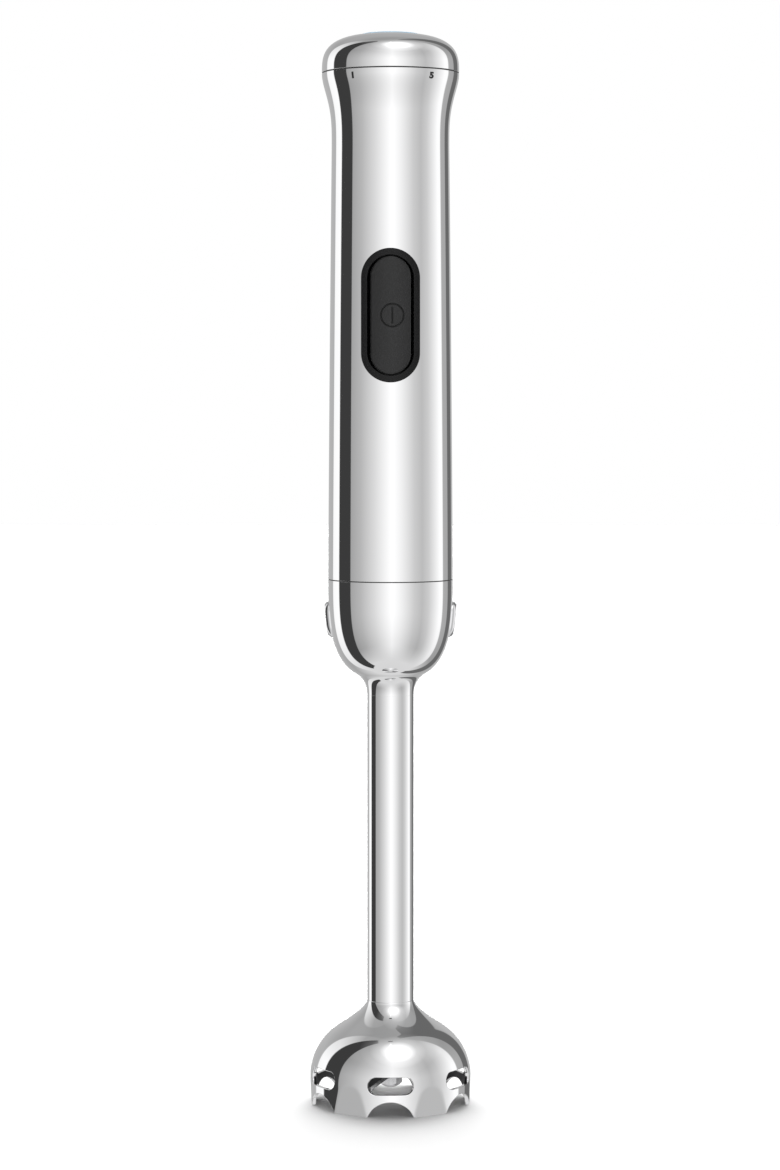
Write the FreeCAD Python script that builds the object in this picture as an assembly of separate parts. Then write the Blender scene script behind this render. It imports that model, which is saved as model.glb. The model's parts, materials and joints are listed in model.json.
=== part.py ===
import FreeCAD, Part

import math
import os

# A cordless immersion blender: a motor unit latched onto a detachable blending shaft with a six-lobed bell.
# Millimetres. The origin is at the centre of the bell's rim, +Z runs up along the drive axis, and the power
# button faces -Y. Every sub-part is written to parts/NAME.step.

V = FreeCAD.Vector
UP = V(0, 0, 1)

# ---------------------------------------------------------------- driving dimensions

# blending shaft: bell, tube and bowl
GUARD_WALL = 1.6  # the bell and the tube
BOWL_WALL = 1.2
BELL_R = 31.8
BELL_H = 40.4
BELL_SHOULDER_H = 8.0  # height where the bell's wall begins to turn in
BELL_DOME_H = 26.9  # semi-height of the superellipse that the wall then follows
BELL_POWER = 2.25
BELL_NECK_R = 20.0  # radius where the dome hands over to the neck's sweep
BELL_LEAN = 0.8  # how long the neck keeps to the dome's line
BELL_SETTLE = 0.8  # how long the neck's end lies along the tube
LOBES = 6
LOBE_ANGLE = 26.4  # degrees of rim that each foot keeps
FLAT_TILT = 3.3  # degrees that each foot's pressed flat leans in
ARCH_H = 6.1
SLOT_W = 18.0
SLOT_H = 6.8
SLOT_Z = 12.2
TUBE_R = 9.1
TUBE_LEN = 120.5
BOWL_R = 24.5
BOWL_H = 45.3
BOWL_DEPTH = 39.3  # semi-height of the bowl's superellipse
BOWL_POWER = 3.0
BOWL_NECK_R = 13.4
BOWL_LEAN = 0.5
BOWL_SETTLE = 1.3

# lower bearing housing and the carrier in the bowl
HUB_COLLAR_R = 9.6
HUB_COLLAR_H = 10.0
HUB_TOP_LEN = 16.0  # the hub above its bush
COVER_T = 1.2
COVER_GAP = 0.8  # between the blade's spacer and the seal cover
SEAL_WALL = 1.5  # the seal's outer radius over the bush's
SEAL_STEP = 1.2
SEAL_H = 6.0
BUSH_SHELF = 2.0
BUSH_HOUSING = 1.5  # wall round the upper bush
SHAFT_AIR = 0.6  # radial air round the spinning shaft
CARRIER_LEG = 12.0  # how far the carrier reaches down the tube
CARRIER_ROOT = 4.0  # how far its leg runs up into its deck
CARRIER_AIR = 2.2  # radial air round the shaft above the bush
DECK_STEP = 1.0  # the deck's underside above the tube
DECK_DROP = 0.6  # the deck below the release button's flange

# handle sleeve and speed dial
SEAM_GAP = 0.4
SLEEVE_WALL = 0.9
SLEEVE_LEN = 198.3
WAIST_R = 23.1
FLARE_R = 26.95
FLARE_LEN = 28.5
TAPER_POWER = 1.3
FLARE_POWER = 1.8
DIAL_GAP = 0.5
DIAL_H = 15.05
DIAL_POWER = 3.1
DIAL_WALL = 1.0
DIAL_RANGE = 70.0  # degrees between the first and the last setting, either side of the front
POINTER_AT = 18.0
POINTER_R = 0.9
POINTER_DROP = 2.1
LENS_R = 11.4
LENS_PROUD = 0.3
LENS_T = 3.0

# what the dial turns on
SEAT_T = 3.5
SEAT_SINK = 0.5  # the seat below the top of the sleeve
SENSOR_R = 8.5
SENSOR_H = 9.0
SENSOR_GAP = 3.0
SENSOR_NECK_R = 6.0
SENSOR_NECK_WALL = 1.0
LED_BOARD_R = 14.0
LED_BOARD_BORE = 7.0
LED_BOARD_T = 0.9
LAMPS = 6
LAMP_AT = 10.0
LAMP_W = 1.8
LAMP_H = 0.6
GLIDE_R = 23.4
GLIDE_W = 2.8
CARRIER_DISC_RISE = 1.4
CARRIER_DISC_T = 1.6
WINDOW_R = 12.4
WINDOW_BORE = 8.0
SPOKES = 3
SPOKE_W = 2.4
DIAL_SHAFT_R = 3.0
DIAL_HUB_R = 5.2
DIAL_HUB_H = 4.5
DIAL_SCREW_L = 7.0
DIAL_SHAFT_DEPTH = 5.0  # how far the shaft enters the sensor
GUIDE_WALL = 2.4

# power button
BEZEL_W = 22.9
BEZEL_L = 52.0
BEZEL_PROUD = 0.45
BEZEL_LAND = 1.2  # how far the bezel's flange covers the sleeve round its opening
PAD_W = 17.0
PAD_L = 45.8
PAD_PROUD = 0.9
PAD_SKIN = 3.0
PAD_RIM = 1.5
PAD_FLANGE = 1.3
PAD_FLANGE_T = 1.0
BUTTON_FROM_TOP = 95.2  # the button's centre below the top of the sleeve
BUTTON_TRAVEL = 1.2
ICON_R = 4.3
ICON_BAR = 6.6
ICON_LINE = 0.45
ICON_DEPTH = 0.25
PLUNGER_R = 1.6
SWITCH_T = 3.4
SWITCH_W = 6.8
SWITCH_L = 11.0
SWITCH_AIR = 0.4  # free play between the plunger and the pad
SPRING_WIRE_R = 0.35
SPRING_R = 1.9
SPRING_TURNS = 4
SPRING_SPREAD = 27.0  # between the two springs

# release buttons and latches
RELEASE_L = 14.0
RELEASE_W = 9.0
RELEASE_PROUD = 1.6
RELEASE_BELOW_SEAM = 15.7
RELEASE_TRAVEL = 2.0
RELEASE_FLANGE = 0.9
RELEASE_FLANGE_T = 0.8
STEM_W = 6.0
STEM_H = 5.0
LATCH_RING_T = 1.6
LATCH_RING_DROP = 21.3  # how far the latch ring reaches below the sleeve
LATCH_T = 0.6
LATCH_W = 7.0
LATCH_BITE = 1.4
LATCH_AIR = 0.1  # between the leaf's edges and the latch ring
LATCH_ROOT = 4.0
LATCH_TIP = 4.0
NOSE_H = 2.0
NOSE_RAMP = 1.0
WINDOW_AIR = 1.0  # either side of the nose
WINDOW_UNDER = 0.4
WINDOW_OVER = 1.6

# drive train
SHAFT_R = 3.0
SHAFT_END_R = 2.5
BUSH_R = 4.5
BUSH_LEN = 14.0
CIRCLIP_W = 1.6
CIRCLIP_T = 0.8
COUPLING_R = 8.0
COUPLING_H = 6.5
SOCKET_DEPTH = 6.5
SOCKET_FLOOR = 0.8
SPLINE_R = 5.4
SPLINE_ROOT_R = 4.0
SPLINE_TEETH = 6
SPLINE_CLEAR = 0.3
SPLINE_SHARE = 0.28  # half of a tooth's share of its pitch
DOG_LIFT = 0.5  # the driver above the socket's floor
DOG_NECK = 6.0  # the driver above the socket
DOG_FLOOR = 1.0
BLADE_R = 24.0
BLADE_T = 1.5
BLADE_W = 9.0
BLADE_Z = 11.0
BLADE_HUB_R = 6.0
BLADE_TIP_RISE = 3.6
BLADE_REST = 60.0  # degrees from +X to the raised wing when the blade is at rest
SPACER_R = 5.0
SPACER_H = 2.4
NUT_AF = 8.0
NUT_H = 5.5
NUT_CAP = 1.6
NUT_DOME = 2.4

# motor
MOTOR_R = 17.9
MOTOR_LEN = 55.8
MOTOR_WALL = 1.2
MOTOR_FLOOR = 1.6
MOTOR_BOSS_R = 6.5
MOTOR_BOSS_H = 4.0
MOTOR_SCREW_AT = 12.0
MOTOR_SHAFT_R = 1.6
CAP_T = 3.0
CAP_BOSS_R = 5.5
CAP_BOSS_H = 4.0
CAP_FLOOR = 0.8
CAP_SPIGOT = 2.0
ARMATURE_R = 13.4
ARMATURE_INSET = 14.0  # the core from each end of the can
WINDING_H = 4.5
WINDING_INSET = 1.2
SLOT_AT = 9.0
SLOT_R = 2.6
SLOT_MOUTH = 2.0
SLOT_FILL_R = 2.4
MAGNET_GAP = 0.5
MAGNET_OVER = 4.0  # the magnets past each end of the core
MAGNET_SPLIT = 12.0
POLES = 5
COMMUTATOR_R = 4.6
COMMUTATOR_RISE = 5.0
BRUSH_L = 6.0
BRUSH_W = 3.0
BRUSH_H = 4.0

# collar at the bottom of the motor unit
SPIGOT_LEN = 4.6
SEAL_T = 1.6
COLLAR_BORE = 7.2
PLATE_INSET = 0.4
PLATE_T = 6.0

# battery and chassis
CELL_R = 9.1
CELL_LEN = 65.0
CELL_GAP = 0.3
CELL_CAP_R = 2.8
CELL_CAP_H = 0.7
CELL_ANGLES = (90, 210, 330)
TAB_W = 5.0
TAB_T = 0.25
TAB_SINK = 0.1
CHASSIS_WALL = 1.4
CHASSIS_CLEAR = 0.35
CHASSIS_LIFT = 0.2
CHASSIS_DROP = 7.5  # the chassis below the top of the sleeve
RIB_T = 2.0
RIB_INSET = 8.0
BULKHEAD_T = 3.0
BULKHEAD_BORE = 7.0
BOSS_H = 5.6
BOSS_W = 6.4
BOSS_D = 9.0
BOSS_X = 14.5
CHASSIS_SCREW_TIP = 6.5
CHASSIS_SCREW_HEAD = 1.9
CHASSIS_SPLIT = 0.1  # half the gap between the chassis halves
BOARD_T = 1.2
BOARD_W = 22.0
BOARD_L = 64.0
BOARD_AIR = 0.5
COMPONENT_H = 2.2
COMPONENT_L = 7.5
COMPONENT_GAP = 0.6
COMPONENT_RISE = 2.5  # above the bezel
CONNECTOR_WALL = 0.7

# charging inlet
JACK_BELOW_WAIST = 10.0
JACK_NOSE_R = 4.0
JACK_BORE_R = 2.75
JACK_PIN_R = 1.05
JACK_DEPTH = 9.5
JACK_SUNK = 0.25
JACK_PIN_SUNK = 0.8
JACK_BODY_W = 10.0
JACK_BODY_H = 11.0
JACK_FLOOR = 3.0
JACK_BACK = 1.6

# fits and fasteners
RUNNING = 0.05
SEAT = 0.1
CLEAR = 0.25
SCREW_R = 1.25
SCREW_AIR = 0.2
HEAD_R = 2.5
HEAD_H = 1.6
DRIVE_SLOT_W = 0.7
DRIVE_SLOT_D = 0.8

PAST = 1.0  # how far a cutter runs past the face that it cuts
OUT = 5.0  # how far a cutter starts outside the body that it cuts
OFFSET_POINTS = 28  # fewest points on an offset outline
OFFSET_STEP = 4.0  # their distance on a long one
SEAM_ANGLE = 135.0  # where a lathed surface closes on itself, clear of every opening

# ---------------------------------------------------------------- levels that follow from them

Z_TUBE0 = BELL_H
Z_TUBE1 = Z_TUBE0 + TUBE_LEN
Z_SEAM = Z_TUBE1 + BOWL_H
Z_SLEEVE0 = Z_SEAM + SEAM_GAP
Z_SLEEVE1 = Z_SLEEVE0 + SLEEVE_LEN
Z_WAIST = Z_SLEEVE1 - FLARE_LEN
Z_DIAL0 = Z_SLEEVE1 + DIAL_GAP
Z_TOP = Z_DIAL0 + DIAL_H
Z_BUTTON = Z_SLEEVE1 - BUTTON_FROM_TOP
Z_RELEASE = Z_SEAM - RELEASE_BELOW_SEAM
Z_JACK = Z_WAIST - JACK_BELOW_WAIST
TUBE_BORE_R = TUBE_R - GUARD_WALL


# ---------------------------------------------------------------- helpers


def cylinder(r, z0, z1, x=0.0, y=0.0):
    """An upright cylinder between two levels."""
    return Part.makeCylinder(r, z1 - z0, V(x, y, z0))


def ring(r_out, r_in, z0, z1):
    """An upright ring between two levels."""
    return cylinder(r_out, z0, z1).cut(cylinder(r_in, z0 - PAST, z1 + PAST))


def along_y(r, y0, y1, x, z):
    """A cylinder along Y."""
    return Part.makeCylinder(r, y1 - y0, V(x, y0, z), V(0, 1, 0))


def block(x0, x1, y0, y1, z0, z1):
    """A box between two corners."""
    return Part.makeBox(x1 - x0, y1 - y0, z1 - z0, V(x0, y0, z0))


def turned(shape, degrees, axis=UP, about=V(0, 0, 0)):
    """A copy of the shape, turned about an axis."""
    copy = shape.copy()
    copy.rotate(about, axis, degrees)
    return copy


def prism(points, z0, z1):
    """An upright prism over a closed outline of (x, y) points."""
    corners = [V(x, y, z0) for x, y in points]
    face = Part.Face(Part.makePolygon(corners + corners[:1]))
    return face.extrude(V(0, 0, z1 - z0))


def stadium(width, length, z, y0, y1, across=False):
    """A prism along Y with a stadium outline, upright unless it runs across."""
    r = min(width, length) / 2
    half = abs(length - width) / 2
    if across:
        low, high = V(-half, y0, z - r), V(half, y0, z - r)
        low_top, high_top = V(-half, y0, z + r), V(half, y0, z + r)
        mids = V(half + r, y0, z), V(-half - r, y0, z)
        edges = [
            Part.LineSegment(low, high).toShape(),
            Part.Arc(high, mids[0], high_top).toShape(),
            Part.LineSegment(high_top, low_top).toShape(),
            Part.Arc(low_top, mids[1], low).toShape(),
        ]
    else:
        a, b = V(-r, y0, z - half), V(r, y0, z - half)
        c, d = V(r, y0, z + half), V(-r, y0, z + half)
        edges = [
            Part.Arc(a, V(0, y0, z - half - r), b).toShape(),
            Part.LineSegment(b, c).toShape(),
            Part.Arc(c, V(0, y0, z + half + r), d).toShape(),
            Part.LineSegment(d, a).toShape(),
        ]
    return Part.Face(Part.Wire(edges)).extrude(V(0, y1 - y0, 0))


def meridian(points):
    """A smooth curve through (radius, height) points, in the XZ plane."""
    curve = Part.BSplineCurve()
    curve.interpolate([V(r, 0, z) for r, z in points])
    return curve


def offset(curve, distance):
    """Points at a distance from a rising meridian curve, on its axis side. A negative distance is outside."""
    count = max(OFFSET_POINTS, round(curve.length() / OFFSET_STEP))
    first, last = curve.FirstParameter, curve.LastParameter
    found = []
    for i in range(count + 1):
        u = first + (last - first) * i / count
        p, t = curve.value(u), curve.tangent(u)[0]
        found.append((p.x - t.z * distance, p.z + t.x * distance))
    found[0] = (found[0][0], curve.StartPoint.z)
    found[-1] = (found[-1][0], curve.EndPoint.z)
    return found


def lathe(edges):
    """The solid that a closed chain of meridian edges sweeps about the Z axis."""
    solid = Part.Face(Part.Wire(edges)).revolve(V(0, 0, 0), UP, 360)
    return turned(solid, SEAM_ANGLE)


def line(a, b):
    """A straight meridian edge between two (radius, height) points."""
    return Part.LineSegment(V(a[0], 0, a[1]), V(b[0], 0, b[1])).toShape()


def shell(curve, wall):
    """A lathed wall of constant thickness inside a rising meridian curve."""
    inner = meridian(offset(curve, wall))
    a, b = curve.StartPoint, curve.EndPoint
    c, d = inner.EndPoint, inner.StartPoint
    return lathe(
        [
            curve.toShape(),
            line((b.x, b.z), (c.x, c.z)),
            inner.toShape(),
            line((d.x, d.z), (a.x, a.z)),
        ]
    )


def filled(curve):
    """The full solid of revolution inside a rising meridian curve."""
    a, b = curve.StartPoint, curve.EndPoint
    edges = [curve.toShape(), line((0, a.z), (a.x, a.z))]
    if b.x > 1e-6:
        edges.append(line((b.x, b.z), (0, b.z)))
    edges.append(line((0, b.z), (0, a.z)))
    return lathe(Part.sortEdges(edges)[0])


def hermite(p0, t0, p1, t1, count):
    """Points inside a cubic sweep from p0 to p1 that leaves along t0 and arrives along t1."""
    found = []
    for i in range(1, count):
        s = i / count
        a = 2 * s**3 - 3 * s**2 + 1
        b = s**3 - 2 * s**2 + s
        c = 3 * s**2 - 2 * s**3
        d = s**3 - s**2
        found.append(tuple(a * p0[k] + b * t0[k] + c * p1[k] + d * t1[k] for k in (0, 1)))
    return found


def superellipse(radius, height, power, r_end, steps):
    """Points (radius, rise) on a superellipse dome, from its widest level to where its radius is r_end."""
    last = math.acos((r_end / radius) ** (power / 2))
    found = []
    for i in range(steps + 1):
        angle = last * i / steps
        found.append((radius * math.cos(angle) ** (2 / power), height * math.sin(angle) ** (2 / power)))
    return found


# ---------------------------------------------------------------- outlines of the outer shells


def bore(radius_at, z, wall):
    """The inner radius at a level of a wall whose outer radius is a function of height."""
    step = 0.25
    tilt = math.atan2(radius_at(z + step) - radius_at(z - step), 2 * step)
    return radius_at(z) - wall / math.cos(tilt)


def neck(points, length, lean, settle):
    """Points that sweep from the end of a dome's outline onto the tube, length further on. They leave along
    the dome, keeping to its line for longer with a larger lean, and end along the tube, for longer with a
    larger settle."""
    (r0, z0), (r1, z1) = points[-2:]
    slope = (r1 - r0) / (z1 - z0)
    start, end = (slope * length * lean, length * lean), (0, length * settle)
    return hermite(points[-1], start, (TUBE_R, z1 + length), end, 5) + [(TUBE_R, z1 + length)]


def bell_curve():
    """The bell from its rim up to the tube, as one smooth curve."""
    dome = superellipse(BELL_R, BELL_DOME_H, BELL_POWER, BELL_NECK_R, 8)
    rise = dome[-1][1]
    points = dome + neck(dome, BELL_H - BELL_SHOULDER_H - rise, BELL_LEAN, BELL_SETTLE)
    rim = [(BELL_R, -BELL_SHOULDER_H), (BELL_R, -BELL_SHOULDER_H / 2)]
    return meridian([(r, z + BELL_SHOULDER_H) for r, z in rim + points])


def bowl_curve():
    """The bowl from the tube up to the handle seam, as one smooth curve."""
    dome = superellipse(BOWL_R, BOWL_DEPTH, BOWL_POWER, BOWL_NECK_R, 10)
    drop = dome[-1][1]
    points = dome + neck(dome, BOWL_H - drop, BOWL_LEAN, BOWL_SETTLE)
    return meridian([(r, Z_SEAM - z) for r, z in reversed(points)])


def bowl_radius(z):
    """The bowl's outer radius at a level on its superellipse."""
    return BOWL_R * (1 - (max(0.0, Z_SEAM - z) / BOWL_DEPTH) ** BOWL_POWER) ** (1 / BOWL_POWER)


def sleeve_radius(z):
    """The sleeve's outer radius at a level: a slow taper to the waist, then a flare."""
    if z <= Z_WAIST:
        t = max(0.0, (z - Z_SLEEVE0) / (Z_WAIST - Z_SLEEVE0))
        return WAIST_R + (BOWL_R - WAIST_R) * (1 - t**TAPER_POWER)
    t = min(1.0, (z - Z_WAIST) / FLARE_LEN) ** FLARE_POWER
    return WAIST_R + (FLARE_R - WAIST_R) * t * t * (3 - 2 * t)


def sleeve_curve():
    """The handle sleeve from the seam up to the dial, as one smooth curve."""
    taper, flare = 8, 12
    levels = [Z_SLEEVE0 + (Z_WAIST - Z_SLEEVE0) * i / taper for i in range(taper)]
    levels += [Z_WAIST + FLARE_LEN * i / flare for i in range(flare + 1)]
    return meridian([(sleeve_radius(z), z) for z in levels])


def dial_curve():
    """The dial's dome from its lower edge up to the centre of its crown."""
    dome = superellipse(FLARE_R, DIAL_H, DIAL_POWER, 0.0, 18)
    return meridian([(max(r, 0.0), Z_DIAL0 + rise) for r, rise in dome[:-1]] + [(0.0, Z_TOP)])


# ---------------------------------------------------------------- blending shaft


def foot_flat(inset):
    """What a foot's pressed flat takes off the bell, moved towards the axis by inset. It faces +X."""
    reach = BELL_R * math.cos(math.radians(LOBE_ANGLE / 2)) - inset
    slab = block(reach, 2 * BELL_R, -BELL_R, BELL_R, -OUT, BELL_H)
    return turned(slab, FLAT_TILT, V(0, 1, 0), V(reach, 0, 0))


def blade_guard():
    """The pressed bell: six feet with flats, an arch between each pair, and a flow slot over each arch."""
    outer = bell_curve()
    skin = filled(outer)
    core = filled(meridian(offset(outer, GUARD_WALL)))
    pitch = 360 / LOBES
    for k in range(LOBES):
        at = -90 + pitch * (k + 0.5)
        skin = skin.cut(turned(foot_flat(0), at))
        core = core.cut(turned(foot_flat(GUARD_WALL), at))
    bell = skin.cut(core)
    half_chord = BELL_R * math.sin(math.radians((pitch - LOBE_ANGLE) / 2))
    arch_r = (half_chord**2 + ARCH_H**2) / (2 * ARCH_H)
    arch = along_y(arch_r, -BELL_R - OUT, -BELL_R / 2, 0, ARCH_H - arch_r)
    slot = stadium(SLOT_H, SLOT_W, SLOT_Z, -BELL_R - OUT, -BELL_R / 2, across=True)
    for k in range(LOBES):
        bell = bell.cut(turned(arch, pitch * k)).cut(turned(slot, pitch * k))
    return bell


# levels and radii inside the blending shaft
FLANGE_Z0 = Z_RELEASE - RELEASE_L / 2 - RELEASE_FLANGE
FLANGE_X1 = bore(bowl_radius, FLANGE_Z0, BOWL_WALL) - CLEAR
FLANGE_X0 = FLANGE_X1 - RELEASE_FLANGE_T
LATCH_RING_R = FLANGE_X0 - RELEASE_TRAVEL - WINDOW_UNDER
LATCH_RING_BORE = LATCH_RING_R - LATCH_RING_T
LATCH_X = math.sqrt(LATCH_RING_BORE**2 - (LATCH_W / 2) ** 2) - LATCH_AIR - LATCH_T  # each leaf's inner face
NOSE_X = LATCH_RING_BORE + LATCH_BITE
Z_NOSE0 = Z_RELEASE - STEM_H / 2
Z_NUT = BLADE_Z - NUT_H
Z_SHAFT_END = Z_NUT + NUT_CAP
Z_SHOULDER = BLADE_Z + BLADE_T + SPACER_H
Z_COVER = Z_SHOULDER + COVER_GAP
Z_HUB0 = Z_COVER + COVER_T
Z_SEAL0 = Z_HUB0 + SEAL_STEP
Z_SEAL1 = Z_SEAL0 + SEAL_H
Z_LOWER_BUSH = Z_SEAL1 + BUSH_SHELF
Z_HUB1 = Z_LOWER_BUSH + BUSH_LEN + HUB_TOP_LEN
Z_CARRIER0 = Z_TUBE1 - CARRIER_LEG
Z_UPPER_BUSH = Z_CARRIER0 + 2 * BUSH_HOUSING
Z_CARRIER1 = FLANGE_Z0 - DECK_DROP
Z_CIRCLIP = Z_UPPER_BUSH + BUSH_LEN + SPLINE_CLEAR
Z_RING0 = Z_SLEEVE0 - LATCH_RING_DROP
Z_DRIVEN0 = Z_CARRIER1 + DECK_STEP
Z_DRIVEN_SOCKET = Z_DRIVEN0 + COUPLING_H
Z_DRIVEN1 = Z_DRIVEN_SOCKET + SOCKET_DEPTH


def release_prism(margin, x0, x1):
    """The stadium prism of the release button on +X, grown by a margin."""
    shape = stadium(RELEASE_W + 2 * margin, RELEASE_L + 2 * margin, Z_RELEASE, -x1, -x0)
    return turned(shape, 90)


def coupling_bowl():
    """The bowl that takes the motor unit, with an opening for each release button."""
    bowl = shell(bowl_curve(), BOWL_WALL)
    opening = release_prism(CLEAR, LATCH_RING_R, BOWL_R + OUT)
    return bowl.cut(opening).cut(turned(opening, 180))


def shaft_hub():
    """The lower bearing housing, pressed up into the tube, with a collar inside the bell."""
    hub = cylinder(TUBE_BORE_R - SEAT, Z_HUB0, Z_HUB1)
    hub = hub.fuse(cylinder(HUB_COLLAR_R, Z_HUB0, Z_HUB0 + HUB_COLLAR_H)).removeSplitter()
    hub = hub.cut(cylinder(SHAFT_R + SHAFT_AIR, Z_HUB0 - PAST, Z_HUB1 + PAST))
    hub = hub.cut(cylinder(BUSH_R, Z_LOWER_BUSH, Z_LOWER_BUSH + BUSH_LEN))
    return hub.cut(cylinder(BUSH_R + SEAL_WALL, Z_HUB0 - PAST, Z_SEAL1))


def latch_carrier():
    """The plastic insert in the bowl's floor: it holds the upper bush and the two latch leaves."""
    room = filled(meridian(offset(bowl_curve(), BOWL_WALL + CLEAR)))
    deck = room.common(cylinder(BOWL_R, Z_TUBE1 + DECK_STEP, Z_CARRIER1))
    leg = cylinder(TUBE_BORE_R - SEAT, Z_CARRIER0, Z_TUBE1 + CARRIER_ROOT)
    carrier = deck.fuse(leg).removeSplitter()
    carrier = carrier.cut(cylinder(SHAFT_R + CARRIER_AIR, Z_CARRIER0 - PAST, Z_CARRIER1 + PAST))
    carrier = carrier.fuse(ring(BUSH_R + BUSH_HOUSING, BUSH_R, Z_CARRIER0, Z_UPPER_BUSH + BUSH_LEN))
    half = LATCH_W / 2 + SEAT
    floor = Z_CARRIER1 - LATCH_ROOT - 2 * CLEAR
    slot = block(LATCH_X - SEAT, LATCH_X + LATCH_T + SEAT, -half, half, floor, Z_CARRIER1 + PAST)
    carrier = carrier.cut(slot).cut(turned(slot, 180))
    return carrier.removeSplitter()


def latch_spring():
    """A leaf on the +X side, rooted in the carrier: the latch ring's window catches under its nose."""
    x, t = LATCH_X, LATCH_T
    root, low, top = Z_CARRIER1 - LATCH_ROOT, Z_NOSE0, Z_NOSE0 + STEM_H
    outline = [
        (x, root),
        (x + t, root),
        (x + t, low),
        (NOSE_X, low),
        (NOSE_X, low + NOSE_H),
        (x + t, top + NOSE_RAMP),
        (x + t, top + LATCH_TIP),
        (x, top + LATCH_TIP),
    ]
    face = Part.Face(Part.makePolygon([V(a, -LATCH_W / 2, b) for a, b in outline + outline[:1]]))
    return face.extrude(V(0, LATCH_W, 0))


def release_button():
    """The push button on the +X side: a cap that follows the bowl, a flange behind the wall, and a stem."""
    proud = filled(meridian(offset(bowl_curve(), -RELEASE_PROUD)))
    cap = release_prism(0, FLANGE_X0, BOWL_R + OUT).common(proud)
    flange = release_prism(RELEASE_FLANGE, FLANGE_X0, FLANGE_X1)
    stem = block(NOSE_X + CLEAR, FLANGE_X1, -STEM_W / 2, STEM_W / 2, Z_NOSE0, Z_NOSE0 + STEM_H)
    return cap.fuse(flange).fuse(stem).removeSplitter()


def drive_shaft():
    """The spinning shaft, stepped down at both ends for the blade and the coupling."""
    shaft = cylinder(SHAFT_R, Z_SHOULDER, Z_DRIVEN0)
    shaft = shaft.fuse(cylinder(SHAFT_END_R, Z_SHAFT_END, Z_SHOULDER))
    shaft = shaft.fuse(cylinder(SHAFT_END_R, Z_DRIVEN0, Z_DRIVEN_SOCKET - SOCKET_FLOOR))
    return shaft.removeSplitter()


def spline_outline(extra):
    """The coupling's toothed outline, grown by extra."""
    pitch = math.pi / SPLINE_TEETH
    points = []
    for k in range(SPLINE_TEETH * 2):
        r = (SPLINE_R if k % 2 == 0 else SPLINE_ROOT_R) + extra
        for side in (-1, 1):
            a = pitch * (k + side * SPLINE_SHARE)
            points.append((r * math.cos(a), r * math.sin(a)))
    return points


def driven_coupling():
    """The socket on top of the drive shaft."""
    body = cylinder(COUPLING_R, Z_DRIVEN0, Z_DRIVEN1)
    body = body.cut(cylinder(SHAFT_END_R, Z_DRIVEN0 - PAST, Z_DRIVEN_SOCKET - SOCKET_FLOOR))
    return body.cut(prism(spline_outline(SPLINE_CLEAR), Z_DRIVEN_SOCKET, Z_DRIVEN1 + PAST))


def drive_dog():
    """The toothed driver on the motor's shaft, which drops into the driven socket."""
    low, top = Z_DRIVEN_SOCKET + DOG_LIFT, Z_DRIVEN1 + DOG_NECK
    return prism(spline_outline(0), low, top).cut(cylinder(MOTOR_SHAFT_R, low + DOG_FLOOR, top + PAST))


def blade_wing(rise):
    """One wing of the blade along +X, swept back at its tip: it bends up or down by rise."""
    half, z = BLADE_W / 2, BLADE_Z
    root = BLADE_R * 0.42
    outline = [
        (0.0, -half),
        (root, -half),
        (BLADE_R * 0.8, -half * 0.75),
        (BLADE_R, half * 0.15),
        (BLADE_R * 0.9, half * 0.8),
        (root, half),
        (0.0, half),
    ]
    tip = BLADE_R + PAST
    side = [(-PAST, z), (root, z), (tip, z + rise), (tip, z + rise + BLADE_T)]
    side += [(root - rise * 0.05, z + BLADE_T), (-PAST, z + BLADE_T)]
    profile = Part.Face(Part.makePolygon([V(x, -BLADE_R, h) for x, h in side + side[:1]]))
    bent = profile.extrude(V(0, 2 * BLADE_R, 0))
    return prism(outline, 0, BLADE_Z + BLADE_R).common(bent)


def blade():
    """The two-wing cutting blade, one wing bent up and one down."""
    up = blade_wing(BLADE_TIP_RISE)
    down = turned(blade_wing(-BLADE_TIP_RISE), 180)
    hub = cylinder(BLADE_HUB_R, BLADE_Z, BLADE_Z + BLADE_T)
    shape = turned(hub.fuse(up).fuse(down), BLADE_REST).removeSplitter()
    return shape.cut(cylinder(SHAFT_END_R, 0, Z_SHOULDER))


def blade_nut():
    """The domed hexagon nut under the blade."""
    corner = NUT_AF / 2 / math.cos(math.pi / 6)
    angles = [math.pi / 3 * k for k in range(6)]
    hexagon = prism([(corner * math.cos(a), corner * math.sin(a)) for a in angles], Z_NUT, BLADE_Z)
    dome_r = NUT_AF * 0.75
    dome = Part.makeSphere(dome_r, V(0, 0, Z_NUT + dome_r))
    body = hexagon.common(dome.fuse(cylinder(NUT_AF, Z_NUT + NUT_DOME, BLADE_Z)))
    return body.cut(cylinder(SHAFT_END_R, Z_SHAFT_END, BLADE_Z + PAST))


# ---------------------------------------------------------------- motor unit


def sleeve_bore(z):
    """The sleeve's inner radius at a level."""
    return bore(sleeve_radius, z, SLEEVE_WALL)


def handle_sleeve():
    """The polished sleeve, with the switch's opening in front and the charging inlet behind."""
    sleeve = shell(sleeve_curve(), SLEEVE_WALL)
    front = bezel_prism(BEZEL_LAND, -WAIST_R / 2)
    back = along_y(JACK_NOSE_R + CLEAR / 2, WAIST_R / 2, FLARE_R + OUT, 0, Z_JACK)
    return sleeve.cut(front).cut(back)


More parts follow.
